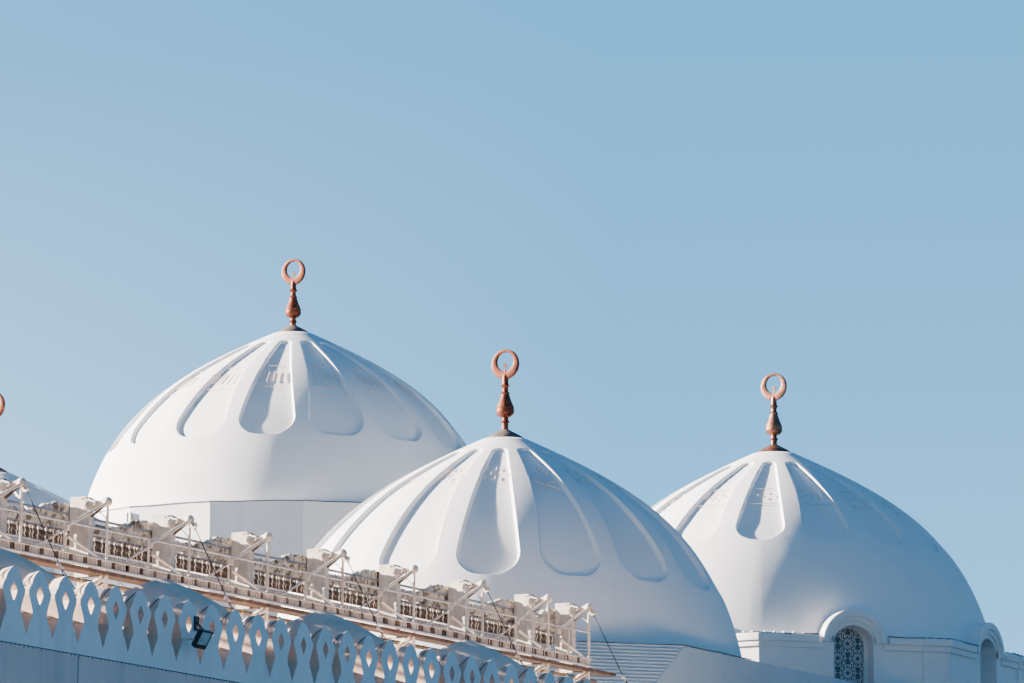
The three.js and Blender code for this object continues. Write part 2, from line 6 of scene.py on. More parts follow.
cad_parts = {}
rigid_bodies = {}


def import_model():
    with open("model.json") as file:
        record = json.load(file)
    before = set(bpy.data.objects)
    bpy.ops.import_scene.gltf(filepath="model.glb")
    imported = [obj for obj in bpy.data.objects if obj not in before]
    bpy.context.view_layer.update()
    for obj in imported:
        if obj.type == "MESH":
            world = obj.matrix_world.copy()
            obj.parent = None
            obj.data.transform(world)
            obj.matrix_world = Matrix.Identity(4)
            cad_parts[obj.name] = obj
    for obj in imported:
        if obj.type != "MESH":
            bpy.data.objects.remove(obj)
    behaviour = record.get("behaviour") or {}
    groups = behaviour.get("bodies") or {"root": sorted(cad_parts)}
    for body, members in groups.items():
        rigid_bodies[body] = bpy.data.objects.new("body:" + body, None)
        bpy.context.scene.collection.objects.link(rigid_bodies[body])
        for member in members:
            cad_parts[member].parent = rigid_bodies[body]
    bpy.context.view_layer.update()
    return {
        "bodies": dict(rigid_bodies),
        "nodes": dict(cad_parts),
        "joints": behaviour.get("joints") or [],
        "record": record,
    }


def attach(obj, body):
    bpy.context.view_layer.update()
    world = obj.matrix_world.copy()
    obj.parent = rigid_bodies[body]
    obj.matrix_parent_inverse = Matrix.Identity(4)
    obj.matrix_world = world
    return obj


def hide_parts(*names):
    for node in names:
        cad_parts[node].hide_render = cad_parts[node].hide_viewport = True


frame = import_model()

# Everything is measured in metres of the real building, with the axis of the centre dome at 0, 0.
# The model is half that size, and its middle is at middleX, middleY.
modelScale = 0.5
middleX, middleY = -11.71, 7.65
toModel = Matrix.Scale(modelScale, 4) @ Matrix.Translation((-middleX, -middleY, 0))

hall = {"grid": 15.3, "west": -47.48, "east": 24.06, "front": -13.6, "back": 28.9, "wall": 0.6,
        "joint": 11.86, "roof": 11.8, "slab": 0.5, "blockTop": 15.95, "blockHalf": 6.6,
        "rightDrum": 17.66, "leftDrum": 22.06, "hallFace": -10.4, "portico": 5.5, "bay": 5.87,
        "firstBay": -15.34, "endBay": 6.3, "firstEndBay": -4.95, "merlons": 89, "endMerlons": 52}
# middles of the bays along the courtyard and of those across it
longBays = [hall["firstBay"] - hall["bay"] * i for i in range(5)]
endBays = [hall["firstEndBay"] + hall["endBay"] * i for i in range(5)]


# small tools of the bench
def letGo():
    if bpy.context.object and bpy.context.object.mode != "OBJECT":
        bpy.ops.object.mode_set(mode="OBJECT")
    bpy.ops.object.select_all(action="DESELECT")


def pick(*pieces):
    letGo()
    for piece in pieces:
        piece.select_set(True)
    bpy.context.view_layer.objects.active = pieces[0]


def added(primitive, **settings):
    letGo()
    primitive(**settings)
    return bpy.context.object


def editAll():
    bpy.ops.object.mode_set(mode="EDIT")
    bpy.ops.mesh.select_all(action="SELECT")


def faceOutwards():
    bpy.ops.mesh.select_all(action="SELECT")
    bpy.ops.mesh.normals_make_consistent(inside=False)
    bpy.ops.object.mode_set(mode="OBJECT")


def drawBy(x, y, z):
    bpy.ops.mesh.extrude_region_move(TRANSFORM_OT_translate={"value": (x, y, z)})


def applyAll(piece):
    pick(piece)
    for modifier in list(piece.modifiers):
        bpy.ops.object.modifier_apply(modifier=modifier.name)


def weld(piece, gap):
    pick(piece)
    editAll()
    bpy.ops.mesh.remove_doubles(threshold=gap)
    faceOutwards()


def bevelEdges(piece, width, segments=1, angle=40):
    bevel = piece.modifiers.new("softEdge", "BEVEL")
    bevel.width = width
    bevel.segments = segments
    bevel.limit_method = "ANGLE"
    bevel.angle_limit = math.radians(angle)
    applyAll(piece)


def keepShape(piece):
    pick(piece)
    bpy.ops.object.transform_apply(location=True, rotation=True, scale=True)
    shape = piece.data
    bpy.data.objects.remove(piece)
    return shape


def meshPiece(points, faces, tones):
    shape = bpy.data.meshes.new("piece")
    shape.from_pydata(points, [], faces)
    shape.polygons.foreach_set("material_index", tones)
    piece = bpy.data.objects.new("piece", shape)
    bpy.context.scene.collection.objects.link(piece)
    return piece


# Copies of modelled shapes become one piece. Each copy is a shape, its place and the number of its finish.
def gather(copies):
    points, faces, tones = [], [], []
    for shape, place, tone in copies:
        first = len(points)
        points.extend(place @ vertex.co for vertex in shape.vertices)
        way = -1 if place.determinant() < 0 else 1  # a mirrored face is wound the other way round
        for face in shape.polygons:
            faces.append([first + index for index in face.vertices][::way])
            tones.append(tone)
    return meshPiece(points, faces, tones)


def placed(copies, *places):
    return [(shape, place @ own, tone) for place in places for shape, own, tone in copies]


# Turns a shape made in real metres into a finished piece of the model
def finishPiece(piece, name, finishes, slotName, nodes=(), smooth=32):
    pick(piece)
    bpy.ops.object.transform_apply(location=True, rotation=True, scale=True)
    piece.data.transform(toModel)
    piece.name = name
    piece.data.name = name
    if smooth:
        bpy.ops.object.shade_smooth_by_angle(angle=math.radians(smooth))
    for finish in finishes:
        piece.data.materials.append(materials[finish])
    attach(piece, "root")
    if nodes:
        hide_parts(*nodes)
    return piece


def moved(x, y, z=0):
    return Matrix.Translation((x, y, z))


def rotated(angle, axis="Z"):
    return Matrix.Rotation(angle, 4, axis)


def stretched(x, y, z):
    return Matrix.Diagonal((x, y, z, 1))


unmoved = Matrix.Identity(4)
mirrored = moved(0, 2 * middleY) @ stretched(1, -1, 1)  # from the front of the building to its back
longSides = {"front": unmoved, "back": mirrored}
quarter, eighth = math.pi / 2, math.pi / 4


# Flat outlines, joined and then drawn out by a length along x, y, z
def drawOut(outlines, way, gap=0.0):
    parts = []
    for outline in outlines:
        part = added(bpy.ops.mesh.primitive_circle_add, vertices=len(outline), radius=1, fill_type="NGON")
        for vertex, point in zip(part.data.vertices, outline):
            vertex.co = point
        parts.append(part)
    pick(*parts)
    if len(parts) > 1:
        bpy.ops.object.join()
    piece = bpy.context.object
    if gap:
        weld(piece, gap)
    editAll()
    drawBy(*way)
    faceOutwards()
    return piece


def cutBlank(outlines, thickness):
    return drawOut([[(x, 0, z) for x, z in outline] for outline in outlines], (0, thickness, 0), 0.0003)


# A line of points is drawn by extruding, then spun round the upright axis
def turned(profile, steps):
    piece = added(bpy.ops.mesh.primitive_plane_add, size=1)
    editAll()
    bpy.ops.mesh.merge(type="CENTER")
    bpy.ops.transform.translate(value=(profile[0][0], 0, profile[0][1]))
    for (r0, h0), (r1, h1) in zip(profile, profile[1:]):
        drawBy(r1 - r0, 0, h1 - h0)
    bpy.ops.mesh.select_all(action="SELECT")
    bpy.ops.mesh.spin(steps=steps, angle=2 * math.pi, center=(0, 0, 0), axis=(0, 0, 1))
    bpy.ops.object.mode_set(mode="OBJECT")
    weld(piece, 0.0004)
    return piece


def stockShape(primitive, soft=0.0, **settings):
    piece = added(primitive, **settings)
    if soft:
        bevelEdges(piece, soft)
    return keepShape(piece)


stock = {"rod": stockShape(bpy.ops.mesh.primitive_cylinder_add, vertices=12, radius=1, depth=1),
         "thinRod": stockShape(bpy.ops.mesh.primitive_cylinder_add, vertices=6, radius=1, depth=1),
         "ball": stockShape(bpy.ops.mesh.primitive_uv_sphere_add, segments=20, ring_count=12, radius=1),
         "block": stockShape(bpy.ops.mesh.primitive_cube_add, size=1),
         "softBlock": stockShape(bpy.ops.mesh.primitive_cube_add, soft=0.06, size=1)}


def rodAlong(a, b, radius, tone=0, kind="rod"):
    start, end = Vector(a), Vector(b)
    span = end - start
    turn = span.to_track_quat("Z", "Y").to_matrix().to_4x4()
    return (stock[kind], moved(*(start + end) / 2) @ turn @ stretched(radius, radius, span.length), tone)


def wireAlong(a, b, radius, tone=0):
    return rodAlong(a, b, radius, tone, "thinRod")


def barAlong(a, b, width, height, tone=0):
    start, end = Vector(a), Vector(b)
    axis = (end - start).normalized()
    flat = Vector((0, 0, 1)).cross(axis)
    flat = flat.normalized() if flat.length > 1e-6 else Vector((0, 1, 0))
    turn = Matrix((flat, axis.cross(flat), axis)).transposed().to_4x4()
    size = stretched(width, height, (end - start).length)
    return (stock["block"], moved(*(start + end) / 2) @ turn @ size, tone)


def boxAt(x0, x1, y0, y1, z0, z1, tone=0, kind="block"):
    middle = moved((x0 + x1) / 2, (y0 + y1) / 2, (z0 + z1) / 2)
    return (stock[kind], middle @ stretched(x1 - x0, y1 - y0, z1 - z0), tone)


# Each row says what makes a part, and from which values
def madeFrom(rows):
    return [maker(*values) for maker, *values in rows]


def smoothStep(value):
    value = min(1.0, max(0.0, value))
    return value * value * (3 - 2 * value)


# Point of a curve that four points steer
def curvePoint(points, t):
    weights = ((1 - t) ** 3, 3 * t * (1 - t) ** 2, 3 * t * t * (1 - t), t ** 3)
    return tuple(sum(w * p[axis] for w, p in zip(weights, points)) for axis in (0, 1))


# Nodes of a finish or of the sky
class NodeBench:
    def __init__(self, tree):
        self.tree = tree

    def feed(self, socket, value):
        if isinstance(value, bpy.types.NodeSocket):
            self.tree.links.new(value, socket)
        elif value is not None:
            socket.default_value = (*value, 1) if socket.type == "RGBA" else value

    # a value is a setting of the node, or goes to the socket of that name
    def node(self, kind, **values):
        made = self.tree.nodes.new(kind)
        for key, value in values.items():
            if hasattr(made, key):
                setattr(made, key, value)
            else:
                self.feed(made.inputs[key], value)
        return made

    def ramp(self, source, stops):
        made = self.node("ShaderNodeValToRGB", Fac=source)
        band = made.color_ramp
        while len(band.elements) < len(stops):
            band.elements.new(0.5)
        for element, (where, colour) in zip(band.elements, stops):
            element.position = where
            element.color = (*colour, 1) if isinstance(colour, tuple) else (colour, colour, colour, 1)
        return made.outputs["Color"]

    def product(self, first, second):
        made = self.node("ShaderNodeMath", operation="MULTIPLY")
        self.feed(made.inputs[0], first)
        self.feed(made.inputs[1], second)
        return made.outputs[0]

    def fitted(self, source, start, end, low, high):
        made = self.node("ShaderNodeMapRange", Value=source, **{"From Min": start, "From Max": end,
                                                                "To Min": low, "To Max": high})
        return made.outputs["Result"]

    def mix(self, share, first, second):
        made = self.node("ShaderNodeMix", data_type="RGBA")
        colours = [socket for socket in made.inputs if socket.type == "RGBA"]
        for socket, value in zip([made.inputs[0]] + colours, (share, first, second)):
            self.feed(socket, value)
        return next(socket for socket in made.outputs if socket.type == "RGBA")


class Finish(NodeBench):
    def __init__(self, name):
        self.material = bpy.data.materials.new(name)
        self.material.use_nodes = True
        super().__init__(self.material.node_tree)
        self.shader = self.tree.nodes["Principled BSDF"]
        self.place = self.node("ShaderNodeTexCoord").outputs["Object"]

    def noise(self, size, detail=4, rough=0.55, scale=(1, 1, 1), warp=0.0):
        spot = self.node("ShaderNodeMapping", Scale=scale, Vector=self.place).outputs["Vector"]
        made = self.node("ShaderNodeTexNoise", Scale=size, Detail=detail, Roughness=rough, Distortion=warp,
                         Vector=spot)
        return made.outputs["Fac"]

    def facing(self, axis):
        normal = self.node("ShaderNodeNewGeometry").outputs["Normal"]
        split = self.node("ShaderNodeSeparateXYZ", Vector=normal)
        return split.outputs[axis]

    # colour, roughness, layers of relief and settings of the shader
    def surface(self, colour, rough, layers=(), **settings):
        relief = None
        for source, strength, depth in layers:
            relief = self.node("ShaderNodeBump", Strength=strength, Distance=depth, Height=source,
                               Normal=relief).outputs["Normal"]
        values = {"Base Color": colour, "Roughness": rough, "Normal": relief, **settings}
        for key, value in values.items():
            self.feed(self.shader.inputs[key], value)
        return self.material


# Painted lime render: soft patches, faint runs of dirt and a fine float finish
def renderFinish(name, settings):
    coat = Finish(name)
    patches = coat.noise(settings["patch"], 5, 0.6)
    base = coat.ramp(patches, [(0.3, settings["dull"]), (0.62, settings["clean"])])
    runs = coat.noise(5.5, 6, 0.65, scale=(1, 1, 0.09))
    streaked = coat.mix(coat.ramp(runs, [(0.5, 0.0), (0.74, settings["runs"])]), base, settings["dirt"])
    blots = coat.noise(1.7, 8, 0.72, warp=0.8)
    final = coat.mix(coat.ramp(blots, [(0.63, 0.0), (0.72, settings["blots"])]), streaked, settings["dirt"])
    if "top" in settings:  # level tops lie under dust
        final = coat.mix(coat.ramp(coat.facing("Z"), [(0.86, 0.0), (0.95, 1.0)]), final, settings["top"])
    if "side" in settings:  # faces towards the west get a darker, warmer colour: painted shade and painted warm bounce light on the merlons' flanks
        westFacingPaintedShade = coat.product(coat.facing("X"), -1.0)
        final = coat.mix(coat.ramp(westFacingPaintedShade, [(0.25, 0.0), (0.5, 1.0)]), final, settings["side"])
    grain, swell = coat.noise(160, 3, 0.6), coat.noise(3.2, 3, 0.5)
    rough = coat.fitted(grain, 0, 1, 0.72, 0.9)
    return coat.surface(final, rough, [(swell, 0.12, 0.02), (grain, 0.12, 0.0012)])


def metalFinish(name, settings):
    metal = Finish(name)
    cloud = metal.noise(9, 6, 0.65)
    base = metal.ramp(cloud, [(0.35, settings["dark"]), (0.6, settings["base"]), (0.8, settings["light"])])
    runs = metal.noise(14, 5, 0.6, scale=(1, 1, 0.14))
    colour = metal.mix(metal.ramp(runs, [(0.52, 0.0), (0.72, settings["wear"])]), base, settings["stain"])
    fine = metal.noise(120, 3, 0.6)
    return metal.surface(colour, metal.fitted(cloud, 0, 1, *settings["smooth"]),
                         [(cloud, 0.08, 0.004), (fine, 0.08, 0.0006)], Metallic=settings["metal"])


def glassFinish(name, colour):
    pane = Finish(name)
    cloud = pane.noise(6, 3)
    tint = pane.ramp(cloud, [(0.3, colour), (0.7, tuple(1.6 * part for part in colour))])
    return pane.surface(tint, pane.fitted(cloud, 0, 1, 0.12, 0.3), **{"Coat Weight": 0.3})


def canvasFinish(name, clean):
    cloth = Finish(name)
    patches = cloth.noise(11, 6, 0.7)
    shades = ((0.07, 0.045, 0.03), (0.24, 0.17, 0.11), (0.78, 0.66, 0.50))
    base = cloth.ramp(patches, [(where, tuple(part * clean for part in shade))
                                for where, shade in zip((0.32, 0.42, 0.52), shades)])
    soot = cloth.noise(13, 6, 0.7, scale=(1, 1, 0.4), warp=0.6)
    colour = cloth.mix(cloth.ramp(soot, [(0.56, 0.0), (0.7, 0.75)]), base, (0.11, 0.075, 0.05))
    threads = [cloth.node("ShaderNodeTexWave", wave_type="BANDS", bands_direction=way, Scale=260,
                          Vector=cloth.place).outputs["Fac"] for way in ("X", "Z")]
    return cloth.surface(colour, 0.92, [(patches, 0.3, 0.01), (cloth.product(*threads), 0.2, 0.0008)],
                         **{"Sheen Weight": 0.15})


def stoneFinish(name):
    stone = Finish(name)
    slabs = stone.node("ShaderNodeTexBrick", Scale=1.0, Color1=(0.58, 0.54, 0.47), Color2=(0.66, 0.62, 0.55),
                       Mortar=(0.3, 0.27, 0.23), Vector=stone.place,
                       **{"Brick Width": 0.6, "Row Height": 0.3, "Mortar Size": 0.004})
    veins = stone.noise(8, 8, 0.7, warp=1.2)
    share = stone.ramp(veins, [(0.45, 0.0), (0.75, 0.35)])
    colour = stone.mix(share, slabs.outputs["Color"], (0.42, 0.38, 0.32))
    return stone.surface(colour, stone.fitted(veins, 0, 1, 0.45, 0.7),
                         [(slabs.outputs["Fac"], -0.3, 0.003), (stone.noise(90, 3), 0.1, 0.001)])


# the block's blue-grey shades are painted shade: the blue that white render takes in the sky's shade; the
# roof render shares them
# dull and clean shades of the render, its dirt, how large its patches are, and how strong its runs and blots
blockCoatPaintedShade = {"dull": (0.40, 0.49, 0.54), "clean": (0.45, 0.55, 0.60), "dirt": (0.34, 0.33, 0.33),
             "patch": 0.9, "runs": 0.2, "blots": 0.14}
renders = {
    "whiteRender": {"dull": (0.72, 0.71, 0.70), "clean": (0.80, 0.79, 0.78), "dirt": (0.42, 0.40, 0.38),
                    "patch": 0.9, "runs": 0.16, "blots": 0.12},
    "domeRender": {"dull": (0.76, 0.755, 0.75), "clean": (0.82, 0.815, 0.81), "dirt": (0.5, 0.49, 0.48),
                   "patch": 0.6, "runs": 0.07, "blots": 0.06},
    # the parapet's warm dull and clean shades partly stand in for warm bounce light, and its colour for faces
    # towards the west is painted shade
    "parapetRenderPaintedLight": {"dull": (0.80, 0.755, 0.72), "clean": (0.88, 0.83, 0.79), "dirt": (0.30, 0.28, 0.27),
                      "patch": 1.2, "runs": 0.2, "blots": 0.25, "side": (0.64, 0.47, 0.37)},
    # the small domes' warm shades partly stand in for warm bounce light on their shaded sides
    "greyRender": {"dull": (0.70, 0.51, 0.41), "clean": (0.82, 0.61, 0.49), "dirt": (0.14, 0.10, 0.08),
                   "patch": 1.4, "runs": 0.3, "blots": 0.3},
    # the long walls' warm shades partly stand in for warm bounce light on the shaded walls
    "wallRenderPaintedWarmLight": {"dull": (0.72, 0.535, 0.48), "clean": (0.82, 0.61, 0.55), "dirt": (0.22, 0.22, 0.23),
                   "patch": 0.8, "runs": 0.25, "blots": 0.15},
    "blockRenderPaintedShade": blockCoatPaintedShade,
    "roofRenderPaintedShade": {**blockCoatPaintedShade, "top": (0.06, 0.06, 0.062)},
    # the kerb's warm shades partly stand in for warm bounce light in the shade behind the merlons
    "kerbRenderPaintedWarmLight": {"dull": (0.74, 0.55, 0.43), "clean": (0.88, 0.68, 0.53), "dirt": (0.18, 0.15, 0.14),
                   "patch": 1.5, "runs": 0.35, "blots": 0.3},
    "screenWhite": {"dull": (0.66, 0.67, 0.69), "clean": (0.76, 0.77, 0.78), "dirt": (0.4, 0.4, 0.4),
                    "patch": 3.0, "runs": 0.1, "blots": 0.1}}
metals = {
    "copper": {"dark": (0.10, 0.026, 0.011), "base": (0.21, 0.052, 0.021), "light": (0.29, 0.08, 0.034),
               "stain": (0.08, 0.025, 0.015), "wear": 0.5, "metal": 0.6, "smooth": (0.42, 0.6)},
    "bronze": {"dark": (0.13, 0.06, 0.04), "base": (0.30, 0.13, 0.08), "light": (0.42, 0.21, 0.13),
               "stain": (0.07, 0.04, 0.03), "wear": 0.5, "metal": 0.75, "smooth": (0.36, 0.55)},
    "leadCone": {"dark": (0.10, 0.07, 0.06), "base": (0.16, 0.115, 0.10), "light": (0.22, 0.17, 0.15),
                 "stain": (0.07, 0.05, 0.045), "wear": 0.4, "metal": 0.1, "smooth": (0.6, 0.8)},
    "creamSteel": {"dark": (0.54, 0.46, 0.37), "base": (0.73, 0.65, 0.55), "light": (0.80, 0.76, 0.69),
                   "stain": (0.34, 0.22, 0.13), "wear": 0.45, "metal": 0.0, "smooth": (0.5, 0.68)},
    "blueSteel": {"dark": (0.16, 0.18, 0.22), "base": (0.24, 0.27, 0.32), "light": (0.36, 0.39, 0.44),
                  "stain": (0.16, 0.12, 0.10), "wear": 0.4, "metal": 0.1, "smooth": (0.5, 0.7)},
    "paleSteel": {"dark": (0.36, 0.36, 0.36), "base": (0.50, 0.50, 0.50), "light": (0.62, 0.61, 0.59),
                  "stain": (0.28, 0.20, 0.14), "wear": 0.5, "metal": 0.0, "smooth": (0.5, 0.7)},
    "dustySteel": {"dark": (0.06, 0.04, 0.03), "base": (0.17, 0.12, 0.08), "light": (0.36, 0.28, 0.20),
                   "stain": (0.08, 0.05, 0.03), "wear": 0.5, "metal": 0.0, "smooth": (0.6, 0.8)},
    "rustyTimber": {"dark": (0.04, 0.022, 0.013), "base": (0.11, 0.062, 0.037), "light": (0.22, 0.145, 0.095),
                    "stain": (0.035, 0.02, 0.013), "wear": 0.6, "metal": 0.0, "smooth": (0.7, 0.9)},
    "blackMetal": {"dark": (0.012, 0.013, 0.015), "base": (0.025, 0.027, 0.03), "light": (0.05, 0.052, 0.056),
                   "stain": (0.06, 0.05, 0.04), "wear": 0.3, "metal": 0.3, "smooth": (0.35, 0.55)},
    "steelWire": {"dark": (0.035, 0.037, 0.045), "base": (0.06, 0.063, 0.075), "light": (0.11, 0.115, 0.13),
                  "stain": (0.05, 0.035, 0.03), "wear": 0.3, "metal": 0.6, "smooth": (0.4, 0.6)}}
materials = {name: renderFinish(name, settings) for name, settings in renders.items()}
materials.update({name: metalFinish(name, settings) for name, settings in metals.items()})
materials.update({"darkGlass": glassFinish("darkGlass", (0.006, 0.022, 0.03)),
                  "lampGlass": glassFinish("lampGlass", (0.35, 0.40, 0.40)),
                  "canopyCanvas": canvasFinish("canopyCanvas", 1.0),
                  # a near-black copy of the canvas: painted shade for the pleat valleys and the folds beside
                  # the columns
                  "paintedShadeCanvas": canvasFinish("paintedShadeCanvas", 0.05),
                  "floorStone": stoneFinish("floorStone")})
print("finishes mixed")


# large domes
domeShape = {"crown": 5.68, "petals": 16, "depth": 0.115, "scoop": 0.038, "top": 5.28,
             "halfHigh": 6.6, "corner": 0.72, "lip": 0.006, "cove": 0.04,
             "curve": [(6, 0), (5.32, 3.55), (3, 4.56), (0, 5.955)],
             "inside": [(0, 4.9), (1.6, 4.6), (2.9, 4.0), (4.2, 2.8), (5.1, 1.2)], "insideFoot": (5.5, -0.15),
             # rows and columns of points lie close together at a petal's rim, at these distances
             "atFoot": [-0.05, -0.02, -0.006, 0.008, 0.02, 0.035, 0.05, 0.08, 0.13, 0.2, 0.3, 0.42, 0.54],
             "atTop": [0.42, 0.32, 0.23, 0.15, 0.09, 0.05, 0.03, 0.01, -0.008, -0.04],
             "atSide": [0.008, 0.018, 0.03, 0.043, 0.06, 0.1]}
domePlaces = [
    {"name": "centre", "x": 0, "y": 0, "seat": hall["blockTop"], "plinth": 0.16,
     "petalFoot": 1.62, "turn": 1.7, "half": 8.9, "grow": 0.985},
    {"name": "right", "x": hall["grid"], "y": 0, "seat": hall["rightDrum"], "plinth": 0,
     "petalFoot": 2.71, "turn": -1.4, "half": 8.6, "grow": 0.993},
    {"name": "left", "x": hall["grid"], "y": hall["grid"], "seat": hall["leftDrum"], "plinth": 0,
     "petalFoot": 2.04, "turn": 0.2, "half": 9.6, "grow": 1.0},
    {"name": "far_left", "x": 0, "y": hall["grid"], "seat": hall["blockTop"], "plinth": 0.16,
     "petalFoot": 1.62, "turn": 0, "half": 9, "grow": 1.0}]


# Points of the dome's curve with the length along it, from the foot up
def domeLine(steps=800):
    line = [(*domeShape["curve"][0], 0.0)]
    for i in range(1, steps + 1):
        r, h = curvePoint(domeShape["curve"], i / steps)
        line.append((r, h, line[-1][2] + math.hypot(r - line[-1][0], h - line[-1][1])))
    return line


outerLine = domeLine()


# Point of the dome's curve where its radius, height or length has a value
def lineAt(value, column):
    low, high = 0, len(outerLine) - 1
    while high - low > 1:
        middle = (low + high) // 2
        if outerLine[middle][column] < value:
            low = middle
        else:
            high = middle
    a, b = outerLine[low], outerLine[high]
    share = (value - a[column]) / max(1e-9, b[column] - a[column])
    return tuple(p + (q - p) * share for p, q in zip(a, b))


def domeRows(petalFoot):
    foot, top, crown = (lineAt(height, 1)[2] for height in (petalFoot, domeShape["top"], domeShape["crown"]))
    rows = [foot * i / 9 for i in range(9)] + [foot + n for n in domeShape["atFoot"]]
    rows += [foot + 0.54 + (top - 0.5 - foot - 0.54) * i / 36 for i in range(1, 37)]
    rows += [top - n for n in domeShape["atTop"]]
    rows += [top + 0.04 + (crown - top - 0.04) * i / 5 for i in range(1, 6)]
    return rows, foot, top


# Half width of a petal in metres, its corners rounded, and how deep the surface lies at one place
def petalWidth(radius, height, petalFoot, half=9.0):
    share = (height - petalFoot) / (domeShape["top"] - petalFoot)
    share = min(1.0, max(0.0, share))
    return radius * math.radians(half + (domeShape["halfHigh"] - half) * share)


def roundedWidth(width, toEnd, corner):
    corner = min(corner, width * 0.92)
    if toEnd >= corner:
        return width
    reach = max(0.0, min(1.0, toEnd / corner))
    return width - corner + math.sqrt(max(0.0, corner ** 2 - (corner * (1 - reach)) ** 2))


def petalDepth(width, across, fromFoot, fromTop):
    side = width - abs(across)
    end = min(fromFoot, fromTop)
    corner = min(domeShape["corner"] if fromFoot < fromTop else 0.9 * width, width * 0.92)
    if side < corner and end < corner:
        edge = corner - math.hypot(corner - side, corner - end)
    else:
        edge = min(side, end)
    lip, cove = domeShape["lip"], domeShape["cove"]
    deep = domeShape["depth"] * min(1.0, 0.35 + width / 0.9)
    # the floor is scooped out between its walls
    rest = 1 - min(1.0, max(0.0, side / width))
    scoop = domeShape["scoop"] * min(1.0, width / 0.8) * (1 - rest * rest) * smoothStep(end / 0.9)
    return deep * smoothStep((edge + lip) / (cove + lip)) + (scoop if side > 0 else 0.0)


# Where the columns of points cross a petal and the rib round it
def petalColumns(half, edge):
    shrink = min(1.0, edge / 0.22)
    marks = [-half, -(half + edge) / 2 - 0.02, -edge - 0.03 * shrink, -edge - 0.009 * shrink]
    marks += [-edge + mark * shrink for mark in domeShape["atSide"]]
    marks += [(edge - 0.1 * shrink) * share for share in (-0.75, -0.5, -0.25, 0, 0.25, 0.5, 0.75)]
    marks += [edge - mark * shrink for mark in reversed(domeShape["atSide"])]
    return marks + [edge + 0.009 * shrink, edge + 0.03 * shrink, (half + edge) / 2 + 0.02]


# A fine grid is wrapped round as the inner face, the foot and the petalled outer face
def ribbedDome(place):
    rows, foot, top = domeRows(place["petalFoot"])
    innerFoot, drop = domeShape["insideFoot"]
    below = domeShape["inside"] + [(innerFoot, drop - place["plinth"])]
    below += [(6.0, -place["plinth"])] if place["plinth"] else []
    pitch, start = 2 * math.pi / domeShape["petals"], math.radians(place["turn"])
    columns = 2 * len(domeShape["atSide"]) + 14
    total = columns * domeShape["petals"]
    levels = len(below) + len(rows) + 1
    dome = added(bpy.ops.mesh.primitive_grid_add, x_subdivisions=total, y_subdivisions=levels - 1, size=1)
    for index, vertex in enumerate(dome.data.vertices):
        level, column = divmod(index, total + 1)
        sector, step = divmod(column, columns)
        if level < len(below):
            radius, height = below[level]
            angle = (sector - 0.5 + step / columns) * pitch + start
        elif level == levels - 1:
            radius, height, angle = 0.0, domeShape["crown"], 0.0
        else:
            length = rows[level - len(below)]
            radius, height, _ = lineAt(length, 2)
            width = petalWidth(radius, height, place["petalFoot"], place["half"])
            corner = domeShape["corner"] if length - foot < top - length else 0.9 * width
            edge = roundedWidth(width, max(0.0, min(length - foot, top - length)), corner)
            across = petalColumns(radius * pitch / 2, edge)[step]
            angle = sector * pitch + across / radius + start
            sink = petalDepth(width, across, length - foot, top - length)
            slope = lineAt(min(length + 0.05, outerLine[-1][2]), 2)
            run, rise = radius - slope[0], slope[1] - height
            size = math.hypot(run, rise) or 1.0
            radius, height = radius - sink * rise / size, height - sink * run / size
        vertex.co = (radius * math.cos(angle), radius * math.sin(angle), height)
    weld(dome, 0.0008)
    return dome


# Prisms that clear the way for the dormers at the foot of the right dome
def cutForDormers(dome):
    cutter = keepShape(added(bpy.ops.mesh.primitive_cylinder_add, vertices=32, radius=0.72, depth=2.4,
                             location=(6.0, 0, -0.1), rotation=(0, quarter, 0)))
    cutters = gather([(cutter, rotated(i * eighth), 0) for i in range(8)])
    cut = dome.modifiers.new("dormerHoles", "BOOLEAN")
    cut.operation = "DIFFERENCE"
    cut.solver = "EXACT"
    cut.object = cutters
    applyAll(dome)
    bpy.data.objects.remove(cutters)


for place in domePlaces:
    dome = ribbedDome(place)
    if place["name"] == "right":
        cutForDormers(dome)
    dome.scale = (place["grow"],) * 3
    dome.location = (place["x"], place["y"], place["seat"] + place["plinth"])
    name = place["name"] + "_dome"
    finishPiece(dome, name + "_ribbed", ["domeRender"], "white_render", [name], 50)
print("domes raised")


# finials; outlines as radius and height, the ring's circles as height and radius
finialShape = {
    "cone": [(0, 0), (0.5, 0), (0.49, 0.035), (0.36, 0.125), (0.24, 0.185), (0.15, 0.23), (0.105, 0.262),
             (0, 0.264)],
    "stem": [(0, 0.12), (0.082, 0.12), (0.082, 0.335), (0.1, 0.345), (0.113, 0.373), (0.1, 0.395),
             (0.078, 0.41), (0.078, 0.47), (0.11, 0.49), (0.165, 0.515), (0.205, 0.555), (0.227, 0.607),
             (0.229, 0.65), (0.221, 0.71), (0.226, 0.722), (0.221, 0.735), (0.205, 0.78), (0.152, 0.9),
             (0.113, 1.02), (0.1, 1.065), (0.108, 1.073), (0.117, 1.09), (0.1, 1.105), (0.078, 1.13),
             (0.073, 1.19), (0.078, 1.24), (0.1, 1.262), (0.123, 1.28), (0.1, 1.3), (0.08, 1.325),
             (0.076, 1.39), (0.082, 1.447), (0.07, 1.5), (0.04, 1.6), (0.014, 1.7), (0.012, 1.745),
             (0, 1.75)],
    "ring": [(1.821, 0.38), (1.886, 0.238)], "ringThick": 0.09,
    "spade": [(0, 1.74), (0.012, 1.755), (0.069, 1.772), (0.062, 1.784), (0.022, 1.832), (0, 1.854)],
    "spadeThick": 0.03}


